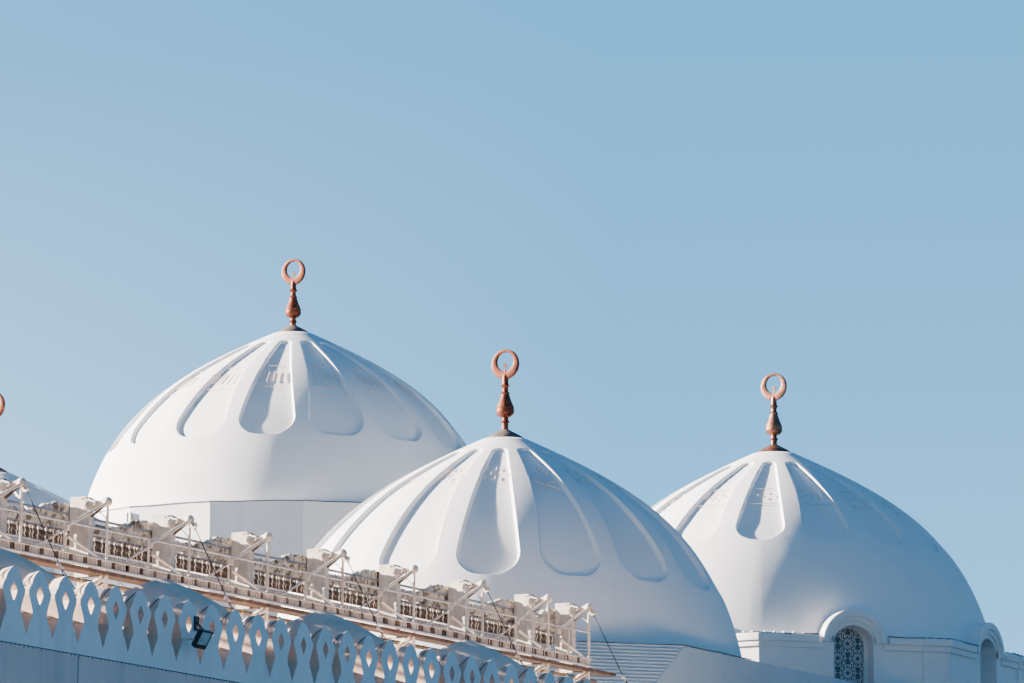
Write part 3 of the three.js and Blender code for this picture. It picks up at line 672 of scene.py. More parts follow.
def crescentRing():
    rings = []
    for middle, radius in finialShape["ring"]:
        rings.append(added(bpy.ops.mesh.primitive_circle_add, vertices=56, radius=radius,
                           location=(0, 0, middle), rotation=(0, quarter, 0)))
        bpy.ops.object.transform_apply(location=True, rotation=True)
    pick(*rings)
    bpy.ops.object.join()
    ring = bpy.context.object
    editAll()
    bpy.ops.mesh.bridge_edge_loops()
    bpy.ops.mesh.select_all(action="SELECT")
    drawBy(finialShape["ringThick"], 0, 0)
    bpy.ops.object.mode_set(mode="OBJECT")
    ring.location.x = -finialShape["ringThick"] / 2
    bpy.ops.object.transform_apply(location=True)
    weld(ring, 0.0003)
    bevelEdges(ring, 0.018, 2, 50)
    return keepShape(ring)


def spadeTip():
    right, thick = finialShape["spade"], finialShape["spadeThick"]
    tip = cutBlank([right + [(-x, z) for x, z in right[-2:0:-1]]], thick)
    tip.rotation_euler.z = quarter
    tip.location.x = thick / 2
    return keepShape(tip)


def buildFinials():
    ring, tip = crescentRing(), spadeTip()
    stem, cone = (keepShape(turned(finialShape[part], steps)) for part, steps in (("stem", 40), ("cone", 48)))
    for place in domePlaces:
        crown = domeShape["crown"]
        foot = moved(place["x"], place["y"], place["seat"] + place["plinth"] + crown)
        seat = foot @ moved(0, 0, crown * (place["grow"] - 1))
        metal, low = (2, 2) if place["name"] == "right" else (0, 1)
        copies = [(shape, foot, metal) for shape in (stem, ring, tip)] + [(cone, seat, low)]
        name = place["name"] + "_finial"
        finishPiece(gather(copies), name + "_turned", ["copper", "leadCone", "bronze"], "copper", [name], 40)


buildFinials()
print("finials turned")


# Right drum with its dormers. A band is how far it stands out, its foot and top below the drum's top, and
# where it starts.
drumShape = {"apothem": 6.3, "inner": 5.5, "pier": 0.7, "proud": 0.05, "bottom": hall["blockTop"],
             "top": hall["rightDrum"], "bands": [(0.06, 0.34, 0.19, 0.83), (0.11, 0.19, 0.0, 0.97)],
             "spring": 17.49, "opening": 0.545, "screen": 0.437, "screenAt": 5.82, "back": 5.3,
             "archOut": (0.885, 0.74, 0.64)}


# One eighth of the drum, round the corner between two faces, from start to start
def cornerPlan(extra, start, inner):
    face, proud, half = drumShape["apothem"], drumShape["proud"], math.tan(math.pi / 8)
    flat, pier = face + extra, face * half - drumShape["pier"]
    line = [(flat, start), (flat, pier), (flat + proud, pier), (flat + proud, (flat + proud) * half)]
    turn = rotated(eighth)
    beyond = [turn @ Vector((x, -y, 0)) for x, y in line[-2::-1]]
    back = [turn @ Vector((inner, -start, 0)), Vector((inner, inner * half, 0)), Vector((inner, start, 0))]
    return [Vector((x, y, 0)) for x, y in line] + beyond + back


def drawnUp(plan, low, high, soft=0.0):
    piece = drawOut([[(x, y, low) for x, y, _ in plan]], (0, 0, high - low))
    if soft:
        bevelEdges(piece, soft, 2, 30)
    return keepShape(piece)


# Archivolt: its section is spun half round the dormer's axis, and its ends are closed
def archShape(section, spring, squash=0.0):
    piece = added(bpy.ops.mesh.primitive_circle_add, vertices=len(section), radius=1)
    for vertex, (radius, out) in zip(piece.data.vertices, section):
        vertex.co = (out, -radius, spring)
    editAll()
    bpy.ops.mesh.edge_face_add()
    bpy.ops.mesh.spin(steps=28, angle=math.pi, center=(0, 0, spring), axis=(1, 0, 0))
    bpy.ops.object.mode_set(mode="OBJECT")
    outer, depth = drumShape["archOut"][0], drumShape["archOut"][0] - drumShape["opening"]
    for vertex in piece.data.vertices:
        # the inner arcs are a little flatter than the outer one
        radius = math.hypot(vertex.co.y, vertex.co.z - spring)
        share = min(1.0, max(0.0, (outer - radius) / depth))
        vertex.co.z = spring + (vertex.co.z - spring) * (1 - squash * share)
    weld(piece, 0.0003)
    pick(piece)
    bpy.ops.object.mode_set(mode="EDIT")
    bpy.ops.mesh.select_mode(type="EDGE")
    bpy.ops.mesh.select_all(action="DESELECT")
    bpy.ops.mesh.select_non_manifold()
    bpy.ops.mesh.edge_face_add()
    bpy.ops.mesh.select_mode(type="VERT")
    faceOutwards()
    return keepShape(piece)


def onDrum(number):
    return moved(hall["grid"], 0) @ rotated(number * eighth)


def buildRightDrum():
    shape = drumShape
    face, low, top, spring, opening, back = (shape[key] for key in ("apothem", "bottom", "top", "spring",
                                                                    "opening", "back"))
    units = [drawnUp(cornerPlan(0, opening, shape["inner"]), low, top)]
    for extra, foot, head, start in shape["bands"]:
        units.append(drawnUp(cornerPlan(extra, start, face - 0.2), top - foot, top - head, 0.012))
    middle, front, ledge = face + 0.06, face + 0.11, shape["screenAt"] + 0.03
    outer, between, inner = shape["archOut"]
    soft = 0.02
    units.append(archShape([(outer, back), (outer, front - soft), (outer - soft, front),
                            (between + soft, front), (between, front - soft), (between, middle),
                            (inner + soft, middle), (inner, middle - soft), (inner, face), (opening, face),
                            (opening, back)], spring, 0.15))
    units.append(archShape([(opening + soft, back), (opening + soft, ledge), (shape["screen"], ledge),
                            (shape["screen"], back)], spring))
    parts = [(unit, unmoved, 0) for unit in units]
    parts += [boxAt(back, ledge, s * 0.5 - 0.063, s * 0.5 + 0.063, low, spring) for s in (-1, 1)]
    parts.append(boxAt(back, ledge, -0.5, 0.5, low, low + 0.12))
    copies = placed(parts, *[onDrum(i) for i in range(8)])
    finishPiece(gather(copies), "right_drum_moulded", ["whiteRender"], "white_render", ["right_drum"], 30)


buildRightDrum()


# Openwork of ten-pointed rosettes, clipped to a round-headed opening, over a dark pane. A rosette's lines run
# from radius, degrees to radius, degrees, from the middle of each of its points.
latticeShape = {"across": 0.55, "up": 0.772, "bar": 0.014,
                "lines": [((0.062, -18), (0.062, 18)), ((0.062, 18), (0.105, 18)), ((0.095, 0), (0.188, 12)),
                          ((0.095, 0), (0.188, -12)), ((0.188, 12), (0.236, 0)), ((0.188, -12), (0.236, 0)),
                          ((0.188, 12), (0.188, 24)), ((0.105, 18), (0.095, 0)), ((0.105, 18), (0.095, 36)),
                          ((0.188, 12), (0.26, 18)), ((0.188, 24), (0.26, 18))]}


def rosetteLines(x, z):
    def point(radius, degrees):
        angle = math.radians(degrees)
        return (x + radius * math.cos(angle), z + radius * math.sin(angle))
    return [(point(a, middle + turn), point(b, middle + beyond)) for middle in range(18, 378, 36)
            for (a, turn), (b, beyond) in latticeShape["lines"]]


def clippedLines(halfWidth, low, spring):
    seen, kept = set(), []
    rows = int((spring + halfWidth - low) / latticeShape["up"] * 2) + 4
    for row in range(-1, rows):
        z = spring + 0.03 - 0.5 * latticeShape["up"] * (rows - 3 - row)
        for column in range(-3, 4):
            x = latticeShape["across"] * (column + (0.5 if (rows - 3 - row) % 2 else 0))
            for a, b in rosetteLines(x, z):
                key = (round((a[0] + b[0]) * 60), round((a[1] + b[1]) * 60))
                middle = ((a[0] + b[0]) / 2, (a[1] + b[1]) / 2)
                rise = max(0.0, middle[1] - spring)
                if key in seen or middle[1] < low or math.hypot(middle[0], rise) > halfWidth:
                    continue
                seen.add(key)
                kept.append((a, b))
    return kept


def buildScreens():
    shape, bar = drumShape, latticeShape["bar"]
    at, low, spring = shape["screenAt"], shape["bottom"], shape["spring"]
    screen = [barAlong((0, *a), (0, *b), bar, bar)
              for a, b in clippedLines(shape["screen"] + 0.005, low + 0.1, spring)]
    pane = boxAt(at - 0.05, at - 0.025, -0.5, 0.5, low + 0.05, spring + 0.48, 1)
    for i in range(8):
        copies = placed(placed(screen, moved(at, 0)) + [pane], onDrum(i))
        finishPiece(gather(copies), f"dormer_lattice_{i + 1}", ["screenWhite", "darkGlass"], "screen_white",
                    [f"dormer_screen_{i + 1}"], 0)


buildScreens()
print("right drum and lattices set")


# parapets; half outlines of a merlon and of the hole in it
merlonShape = {"pitch": 0.804, "thick": 0.2, "sag": 0.04, "kerbThick": 0.1, "kerbHigh": 0.64, "ticks": 6,
               "edge": [(0.402, 0), (0.402, 0.195), (0.345, 0.32), (0.295, 0.43), (0.245, 0.5), (0.22, 0.57),
                        (0.228, 0.63), (0.262, 0.72), (0.303, 0.81), (0.345, 0.9), (0.35, 0.985),
                        (0.318, 0.985), (0.318, 1.035), (0.285, 1.035), (0.285, 1.08), (0.245, 1.08),
                        (0.24, 1.12), (0.2, 1.195), (0.125, 1.272), (0.05, 1.318), (0, 1.334)],
               "hole": [(0, 1.07), (0.055, 1.0), (0.1, 0.925), (0.1, 0.905), (0.06, 0.82), (0, 0.73)]}


def merlonBlank():
    right = [(0, 0)] + merlonShape["edge"] + merlonShape["hole"]
    blank = cutBlank([right, [(-x, z) for x, z in reversed(right)]], merlonShape["thick"])
    for vertex in blank.data.vertices:
        vertex.co.z = max(vertex.co.z, 0.018)
        if vertex.co.y > 0.1 and vertex.co.z > 1.0:
            vertex.co.z -= merlonShape["sag"] * (vertex.co.z - 1.0) / 0.334
    return keepShape(blank)


# Place on top of a wall, turned so that x runs along it and y goes inwards
def parapetPlace(side, at):
    turn = {"front": 0, "back": math.pi, "west": -quarter, "east": quarter}[side]
    x, y = (hall[side], at) if side in ("west", "east") else (at, hall[side])
    return moved(x, y, hall["joint"]) @ rotated(turn)


def buildParapets():
    merlon, thick, ticks = merlonBlank(), merlonShape["thick"], merlonShape["ticks"]
    long = (hall["west"], hall["east"], hall["merlons"])
    short = (hall["front"] + thick, hall["back"] - thick, hall["endMerlons"])
    for name, (start, end, count) in {"front": long, "back": long, "west": short, "east": short}.items():
        pitch = (end - start) / count
        half, kerb = pitch / 2, thick + 0.01
        unit = [(merlon, stretched(pitch / merlonShape["pitch"], 1, 1), 0),
                boxAt(-half, half, 0.01, thick - 0.002, -0.004, 0.02, 1),
                boxAt(-half, half, kerb, kerb + merlonShape["kerbThick"], 0, merlonShape["kerbHigh"], 2)]
        copies = []
        for i in range(count):
            parts = list(unit)
            # ticks under the joint, on the long sides
            for k in range(ticks if count == hall["merlons"] else 0):
                x, low = pitch * (k / ticks - 0.42), 0.022 + 0.012 * math.sin(i * 3.7 + k * 2.2)
                parts.append(boxAt(x - 0.008, x + 0.008, -0.004, 0.002, -low, 0, 1))
            copies += placed(parts, parapetPlace(name, start + (i + 0.5) * pitch))
        finishPiece(gather(copies), f"{name}_parapet_openwork", ["parapetRenderPaintedLight", "steelWire", "kerbRenderPaintedWarmLight"],
                    "white_render", [f"{name}_parapet"], 20)


buildParapets()
print("parapets cut")


# portico roofs with their small domes
smallDome = {"radius": 2.25, "rise": 2.34, "foot": 0.16}


def smallDomeShape():
    r, h, foot = smallDome["radius"], smallDome["rise"], smallDome["foot"]
    line = [(0, h - 0.35), (0.5 * r, 0.72 * h), (0.8 * r, 0.35 * h), (r - 0.3, -0.5), (r + 0.12, -0.5),
            (r + 0.12, -0.1), (r + 0.12, 0.12), (r + 0.02, foot)]
    for t in (i / 16 for i in range(17)):
        radius, height = curvePoint([(r, 0), (r, 0.4 * h), (0.62 * r, 0.78 * h), (0, h)], t)
        line.append((radius, foot * (1 - t) + height))
    return keepShape(turned(line, 40))


def buildPorticoRoofs():
    dome = smallDomeShape()
    roof, slab, wall, reach = hall["roof"], hall["slab"], hall["wall"], hall["portico"] - 0.3
    west, front, back = hall["west"] + reach, hall["front"] + reach, hall["back"] - reach
    middle = (hall["front"] + wall + front) / 2
    far, column = hall["grid"] - middle, (hall["west"] + wall + west) / 2
    domed = longBays[1:]  # the bay next to the hall has no dome
    sets = {"front": ((west, hall["hallFace"], hall["front"] + wall, front), [(x, middle) for x in domed]),
            "back": ((west, hall["hallFace"], back, hall["back"] - wall), [(x, far) for x in domed]),
            "west": ((hall["west"] + wall, west, hall["front"] + wall, hall["back"] - wall),
                     [(column, y) for y in [middle] + endBays + [far]])}
    for name, (plan, spots) in sets.items():
        copies = [boxAt(*plan, roof - slab, roof)] + [(dome, moved(x, y, roof), 0) for x, y in spots]
        finishPiece(gather(copies), f"{name}_portico_domes", ["greyRender"], "grey_render",
                    [f"{name}_portico_roof"], 35)


buildPorticoRoofs()
print("portico roofs laid")


# Canopy gantries. An offset counts from the line of the ball joints towards the courtyard.
ballHeight, railHeight = 15.85, 15.3
gantryShape = {"line": -8.67, "frames": [-11.97] + [-13.87 - 2.97 * i for i in range(10)], "end": -10.52,
               "tied": (0, 2, 4, 6, 8, 10), "ballRadius": 0.095,
               "body": [(0.8, 14.82), (0.8, 15.97), (0.45, 15.97), (0.37, 15.91), (0.37, 14.42),
                        (0.68, 14.42), (0.68, 14.68)], "bodyThick": 0.17, "cheekThick": 0.02,
               "nose": (0.27, 15.83, 0.057), "hookRows": (2, 4, 4, 2, 0, 4)}
gantryFinishes = ["creamSteel", "paleSteel", "rustyTimber", "steelWire", "dustySteel", "blueSteel"]
# Parts of a frame, placed from the foot of that line: a rod or wire by its ends, radius and tone, a bar by
# its ends, width, height and tone, a box by its limits and tone. A tone is a place in gantryFinishes.
everyFrame = [
    # round cap on the column's side, and the arm from its nose to the ball joint
    (rodAlong, (-0.1, 0.44, 15.822), (-0.142, 0.44, 15.822), 0.076),
    (rodAlong, (-0.14, 0.44, 15.822), (-0.156, 0.44, 15.822), 0.046),
    (rodAlong, (0, 0.3, 15.84), (0, 0.03, ballHeight), 0.041),
    (rodAlong, (0, 0.14, 15.845), (0, 0.05, ballHeight), 0.052),
    (barAlong, (0, 0.04, 15.8), (0, 0.36, 15.58), 0.04, 0.045, 4),
    # pins of the nose, and a dark bar lying on the chamfered top
    (wireAlong, (-0.117, 0.27, 15.83), (0.117, 0.27, 15.83), 0.02, 3),
    (wireAlong, (-0.1, 0.5, 15.92), (-0.12, 0.5, 15.92), 0.016, 3),
    (wireAlong, (-0.1, 0.425, 15.935), (-0.12, 0.425, 15.935), 0.016, 3),
    (barAlong, (0, 0.41, 15.955), (0, 0.31, 15.9), 0.06, 0.016, 3),
    # posts, the front one's collars and thin brace
    (rodAlong, (0, 0, hall["roof"]), (0, 0, ballHeight), 0.03),
    (rodAlong, (0, 0.6, hall["roof"]), (0, 0.6, 14.43), 0.045),
    *((rodAlong, (0, 0, z), (0, 0, z + 0.03), 0.038) for z in (15.24, 15.08, 14.9)),
    (wireAlong, (0, 0, 15.5), (0, 0.2, 15.68), 0.011),
    # crossbeam under the deck and its braces
    (boxAt, -0.05, 0.05, -0.02, 0.8, 14.42, 14.499, 4),
    (rodAlong, (0, 0.03, 14.28), (0, 0.4, 14.1), 0.018),
    *((rodAlong, (shift, 0.04, 14.42), (shift * 0.6, 0.58, 14.13), 0.024) for shift in (-0.1, 0.1))]
# struts towards the next frame, which the last one hasn't
leaningStruts = [(rodAlong, (0, 0, 15.83), (-1.4, 0, 15.22), 0.027),
                 (rodAlong, (-1.36, 0, 15.02), (-0.08, 0, 14.69), 0.029),
                 (boxAt, -1.45, -1.36, -0.035, 0.035, 15.13, 15.24)]
# pulley of a tied frame and the clamp of its stays
pulleyParts = [(rodAlong, (-0.032, -0.095, 15.73), (0.032, -0.095, 15.73), 0.068),
               (wireAlong, (-0.045, -0.095, 15.73), (0.045, -0.095, 15.73), 0.02, 3),
               (barAlong, (0, 0.01, 15.83), (0, -0.095, 15.73), 0.09, 0.03),
               (barAlong, (0, -0.84, 14.31), (0.02, -0.93, 14.19), 0.06, 0.045, 1),
               (boxAt, -0.09, -0.02, -0.9, -0.86, 14.24, 14.29, 1)]
# stays of a tied frame: from the pulley to the clamp, up to the ball joint, and down to the roof
stayParts = [(rodAlong, (0, -0.13, 15.67), (0, -0.88, 14.25), 0.011),
             (rodAlong, (0, -0.03, 15.80), (0, -0.15, 15.62), 0.012),
             (rodAlong, (0, -0.88, 14.25), (0.75, -2.3, hall["roof"]), 0.011),
             (rodAlong, (0, -0.88, 14.25), (-0.1, -2.1, hall["roof"]), 0.01)]


# Body of a column and its cheek plate with the rounded nose, as outlines of offset and height
def columnBlanks():
    shape = gantryShape
    offset, z, radius = shape["nose"]
    nose = [(offset + radius * math.cos(math.radians(a)), z + radius * math.sin(math.radians(a)))
            for a in range(70, 291, 20)]
    cheek = [(0.56, 15.965), (0.43, 15.965)] + nose + [(0.36, 15.73), (0.56, 15.70)]
    return (keepShape(cutBlank([shape["body"]], shape["bodyThick"])),
            keepShape(cutBlank([cheek], shape["cheekThick"])))


def gantryFrame(index, body, cheek):
    shape, turn, half = gantryShape, rotated(quarter), gantryShape["bodyThick"] / 2
    x, parts = shape["frames"][index], list(everyFrame)
    if index < len(shape["frames"]) - 1:
        parts += leaningStruts
    if index in shape["tied"]:
        parts += pulleyParts
    if index:
        # posts half way to the frame before
        middle = (shape["frames"][index - 1] - x) / 2
        parts += [(rodAlong, (middle, 0, 14.6), (middle, 0, railHeight), 0.026),
                  (rodAlong, (middle, 0.6, 13.4), (middle, 0.6, 14.43), 0.035)]
        if middle > 1:
            parts.append((rodAlong, (0.46, 0, 14.69), (middle, 0, 15.14), 0.02))
    copies = madeFrom(parts)
    copies += [(body, moved(half, 0) @ turn, 0), (cheek, moved(half + shape["cheekThick"], 0) @ turn, 0),
               (cheek, moved(-half, 0) @ turn, 0),
               (stock["ball"], moved(0, 0, ballHeight) @ Matrix.Scale(shape["ballRadius"], 4), 0)]
    return placed(copies, moved(x, shape["line"]))


def gantryRuns():
    shape = gantryShape
    first, last = shape["frames"][0], shape["frames"][-1]

    def spots(past, reach, pitch):
        return [(i, last - past + pitch * i) for i in range(int((first - last + reach) / pitch))]
    # offset, height, radius, tone, and how far a run goes past the last and the first frame
    runs = [(0, railHeight, 0.024, 1, 0.3, 0), (0.86, 15.655, 0.026, 5, 0.5, 0.09),
            (0.83, 15.325, 0.018, 5, 0.5, 0.09), (0.6, 14.37, 0.045, 4, 0.6, shape["end"] - first),
            (-0.03, 14.712, 0.02, 1, 0.6, 0.06), (-0.04, 14.548, 0.024, 1, 0.6, 0.06)]
    parts = [rodAlong((last - past, y, z), (first + more, y, z), radius, tone)
             for y, z, radius, tone, past, more in runs]
    # hooks and rollers in close rows under the canvas
    for row, tone in enumerate(shape["hookRows"]):
        z, y = 15.065 + 0.049 * row, 0.86 + 0.012 * math.sin(row * 2.1)
        for i, at in spots(0.5, 0.5, 0.09):
            x = at + 0.01 * math.sin(i * 2.3 + z)
            parts.append(boxAt(x, x + 0.07, y - 0.035, y + 0.03, z - 0.024, z + 0.024, tone if i % 7 else 4))
    # web of the outer girder, its plates, and the kick panel with its wire mesh
    parts += [boxAt(x, x + 0.02, -0.04, 0.03, 14.53, 14.71, 4 if i % 5 == 2 else 0)
              for i, x in spots(0.6, 0.65, 0.1)]
    parts += [boxAt(x, x + 0.035, -0.05, 0.02, 14.56, 14.70, 4 if i % 3 else 2)
              for i, x in spots(0.3, 0, 0.495)]
    parts.append(boxAt(last - 0.5, first, 0.95, 0.965, 14.84, 15.03, 1))
    parts += [wireAlong((last - 0.5, 0.935, z), (first, 0.935, z), 0.006, 5) for z in (14.86, 14.93, 15.0)]
    parts += [wireAlong((x, 0.935, 14.84), (x, 0.935, 15.03), 0.006, 5) for _, x in spots(0.45, 0.5, 0.15)]
    return placed(parts, moved(0, shape["line"]))


# Boards end to end, with a gap between two; their length depends on where they lie
def boardRow(x, stop, end, length, gap, *section):
    boards = []
    while x < stop:
        beyond = min(x + length(x), end)
        boards.append(boxAt(x, beyond - gap, *section))
        x = beyond
    return boards


def deckParts():
    first, start, end = gantryShape["frames"][0], gantryShape["frames"][-1] - 0.58, gantryShape["end"]
    parts = []
    for offset in (0.045, 0.2):
        parts += boardRow(start, first, first + 0.1, lambda x: 2.9 + 0.25 * math.sin(7 * x), 0.012,
                          offset, offset + 0.14, 14.66, 14.715, 1)
    # timber below, which runs on to the hall
    for offset, wide, low, high in ((-0.055, 0.2, 14.43, 14.5), (0.16, 0.19, 14.44, 14.52)):
        parts += boardRow(start, end - 0.4, end, lambda x: 3.6 + 0.4 * math.sin(5 * x + offset), 0.01,
                          offset, offset + wide, low, high)
    return placed(parts, moved(0, gantryShape["line"]))


# Folded canvas of the canopy: one long sheet pleated along the pipe, gathered high beside each column
canvasShape = {"past": 0.2, "foot": 15.37, "low": 15.6, "high": 15.865, "pleat": 0.15, "near": 0.845,
               "middle": 0.95, "far": 1.03, "slack": 0.9, "pastLast": 0.45, "pastFirst": 0.29, "perPleat": 7}


def canvasSection(x):
    shape, frames = canvasShape, gantryShape["frames"]
    ends = sorted([frame + shape["past"] for frame in frames] + [frames[-1] - 2.77, frames[0] + 0.4])
    index = max(i for i, end in enumerate(ends) if end <= x + 1e-6)
    share = min(1.0, (x - ends[index]) / (ends[min(index + 1, len(ends) - 1)] - ends[index] + 1e-6))
    lobe = abs(math.sin(math.pi * x / shape["pleat"] + 0.5 * math.sin(3.1 * x))) ** 0.45
    number = math.floor(x / shape["pleat"])
    wobble = math.sin(number * 2.399)
    top = shape["low"] + (shape["high"] - shape["low"]) * smoothStep((share - 0.42) / 0.42)
    top += 0.014 * wobble - 0.035 * (1 - lobe)
    foot = shape["foot"] + 0.012 * math.sin(number * 1.7) - 0.025 * share
    front, far = shape["near"] + (0.075 + 0.03 * share) * (1 - lobe) + 0.012 * wobble, shape["far"]
    tall = top - foot
    line = [(front + 0.04, foot), (front + 0.01, foot + 0.04), (front, foot + 0.35 * tall),
            (front + 0.008, foot + 0.55 * tall), (front - 0.004, foot + 0.78 * tall),
            (front + 0.015, top - 0.03), (front + 0.045, top), (shape["middle"] + 0.02, top - 0.006),
            (far - 0.03, top - 0.01), (far, top - 0.05), (far, foot + 0.1)]
    # pleat valleys and the ends beside the columns take the near-black canvas: painted shade
    return line, share > 0.94 or share < 0.03 or lobe < 0.5


def canvasSheet(name, flip):
    shape, frames = canvasShape, gantryShape["frames"]
    start, end = frames[-1] - shape["pastLast"], frames[0] + shape["pastFirst"]
    count = int((end - start) / shape["pleat"] * shape["perPleat"])
    points, faces, tones = [], [], []
    for i in range(count + 1):
        x = start + (end - start) * i / count
        line, shaded = canvasSection(x)
        points += [flip @ Vector((x, gantryShape["line"] + offset, z)) for offset, z in line]
        for k in range(len(line) - 1 if i else 0):
            a, b = (i - 1) * len(line) + k, i * len(line) + k
            loop = (a, b, b + 1, a + 1)
            faces.append(loop[::-1] if flip.determinant() < 0 else loop)
            tones.append(1 if k < 6 and shaded else 0)
    piece = finishPiece(meshPiece(points, faces, tones), f"{name}_canopy_canvas",
                        ["canopyCanvas", "paintedShadeCanvas"], "canopy_canvas", [f"{name}_canopy_bundle"], 70)


def buildGantries():
    body, cheek = columnBlanks()
    steel = gantryRuns()
    for index in range(len(gantryShape["frames"])):
        steel += gantryFrame(index, body, cheek)
    feet = [moved(gantryShape["frames"][index], gantryShape["line"]) for index in gantryShape["tied"]]
    stays = placed(madeFrom(stayParts), *feet)
    for name, flip in longSides.items():
        sets = {"steelwork": (steel, gantryFinishes, "cream_steel", [f"{name}_gantry"]),
                "planks": (deckParts(), ["rustyTimber", "paleSteel"], "rusty_deck", [f"{name}_gantry_deck"]),
                "stays": (stays, ["steelWire"], "steel_wire", [])}
        for part, (copies, *rest) in sets.items():
            finishPiece(gather(placed(copies, flip)), f"{name}_gantry_{part}", *rest, 40)
        canvasSheet(name, flip)


buildGantries()
print("gantries and canvas hung")


# Floodlights on the long parapets. The head is made round the middle of its housing.
lampShape = {"x": -36.8, "z": 12.46, "out": 0.38, "tilt": 30}
lampHead = [
    # housing and the four sides of its rim
    (boxAt, -0.18, 0.18, -0.035, 0.03, -0.17, 0.17, 0, "softBlock"),
    (boxAt, -0.18, -0.16, -0.055, -0.03, -0.17, 0.17), (boxAt, 0.16, 0.18, -0.055, -0.03, -0.17, 0.17),
    (boxAt, -0.18, 0.18, -0.055, -0.03, 0.15, 0.17), (boxAt, -0.18, 0.18, -0.055, -0.03, -0.17, -0.095),
    # glass, the reflector's lower edge, and the cooling ribs behind
    (boxAt, -0.165, 0.165, -0.045, -0.034, -0.1, 0.155, 1),
    (boxAt, -0.155, 0.155, -0.047, -0.044, -0.09, -0.045, 2),
    *((boxAt, 0.04 * i - 0.005, 0.04 * i + 0.005, 0.025, 0.05, -0.15, 0.15) for i in range(-4, 5))]
# the bracket's two arms and its joint box
lampBracket = [(barAlong, (-0.18, 0, -0.02), (-0.18, -0.34, -0.02), 0.035, 0.035, 2),
               (barAlong, (0.4, -0.01, 0.34), (0.12, -0.33, 0.16), 0.05, 0.05),
               (boxAt, 0.34, 0.47, -0.03, 0, 0.2, 0.46)]


def buildFloodlights():
    foot = moved(lampShape["x"], hall["front"], lampShape["z"])
    head = foot @ moved(0, -lampShape["out"]) @ rotated(math.radians(lampShape["tilt"]), "X")
    copies = placed(madeFrom(lampHead), head) + placed(madeFrom(lampBracket), foot)
    for name, flip in longSides.items():
        finishPiece(gather(placed(copies, flip)), f"{name}_floodlight_lamp",
                    ["blackMetal", "lampGlass", "paleSteel"], "black_metal", [f"{name}_floodlight"], 30)


buildFloodlights()


# Stepped courses on the block's cut corners, and the thin gutters along the roof edges
courseShape = {"leg": 3.5, "drop": 2.3, "pitch": 0.092, "deep": 0.07}
gutterShape = {"step": 0.55, "leftDrum": 6.64}


def cornerTurn(number):
    return moved(middleY, middleY) @ rotated(number * quarter) @ moved(-middleY, -middleY)


def buildCourses():
    shape, half = courseShape, hall["blockHalf"]
    low, pitch = hall["blockTop"] - shape["drop"], courseShape["pitch"]
    wedge = keepShape(drawOut([[(0.5, -0.5, 0), (0.5, -0.5, 1), (-0.5, -0.5, 1)]], (0, 1, 0)))
    copies = []
    for i in range(int(shape["drop"] / pitch)):
        z = low + pitch * (i + 0.15)
        leg = shape["leg"] * (z + pitch * 0.5 - low) / shape["drop"]
        # middle of the cut at this height, and the way along it
        place = moved(-half + leg / 2, -half + leg / 2, z) @ rotated(eighth) @ moved(0.005, 0)
        course = (wedge, place @ stretched(shape["deep"], leg * math.sqrt(2) * 0.985, pitch * 0.86), 0)
        copies += placed([course], *[cornerTurn(k) for k in range(4)])
    finishPiece(gather(copies), "block_corner_courses", ["blockRenderPaintedShade"], "white_render", [], 20)


# A thin dark gutter that sags between its clips
def gutterAlong(start, end, width, sag, seed):
    count = max(2, int((end - start).length / gutterShape["step"]))
    parts, last = [], start
    for i in range(1, count + 1):
        point = start.lerp(end, i / count)
        point.z += sag * math.sin(seed + i * 1.9) - (sag if i % 3 == 1 else 0)
        parts.append(barAlong(last, point, width, width * 0.8))
        last = point
    return parts


# Sides of a regular ring round a drum, corner to corner
def ringSides(x, y, z, reach, count):
    corners = [moved(x, y, z) @ rotated(2 * math.pi * (i + 0.5) / count) @ Vector((reach, 0, 0))
               for i in range(count)]
    return zip(corners, corners[1:] + corners[:1])


def buildGutters():
    grid, top = hall["grid"], hall["blockTop"] + 0.02
    half, leg = hall["blockHalf"] + 0.005, courseShape["leg"]
    corners = ((-half, -half + leg, top), (-half + leg, -half, top), (0.4, -half, top))
    bends = [Vector(corner) for corner in corners]
    copies = []
    for k in range(4):
        for i in range(2):
            copies += gutterAlong(cornerTurn(k) @ bends[i], cornerTurn(k) @ bends[i + 1], 0.026, 0.012, k + i)
    for a, b in ringSides(grid, grid, hall["leftDrum"] + 0.01, gutterShape["leftDrum"], 16):
        copies += gutterAlong(a, b, 0.03, 0.006, a.x)
    reach = (drumShape["apothem"] + 0.11) / math.cos(math.pi / 8)
    for a, b in ringSides(grid, 0, drumShape["top"] + 0.015, reach, 8):
        for low, high in ((0.0, 0.33), (0.67, 1.0)):
            copies += gutterAlong(a.lerp(b, low), a.lerp(b, high), 0.028, 0.008, a.y)
        # crumbs of mortar beside the dormers
        for i in range(10):
            x, y, z = a.lerp(b, min(0.99, (0.03 + 0.05 * i) if i < 5 else (0.55 + 0.046 * i)))
            size = 0.02 + 0.015 * abs(math.sin(i * 2.7 + a.x))
            copies.append(boxAt(x - size, x + size, y - size, y + size, z, z + size * 1.3, 1, "softBlock"))
    finishPiece(gather(copies), "roof_edge_gutters", ["steelWire", "whiteRender"], "steel_wire", [], 20)


buildCourses()
buildGutters()


# Rain pipes on the left drum, a wire on most merlons of the long parapets, and the long walls' joint
smallShape = {"drumFace": 6.5, "pipes": (-1.22, -1.34), "pipeTop": 21.9,
              "joint": (-40.235, -40.215, 8.2, 11.84),
              "wire": [(-0.31, 0.15, 0.99), (-0.285, 0.135, 1.09), (-0.2, 0.09, 1.2), (-0.1, 0.04, 1.285)]}


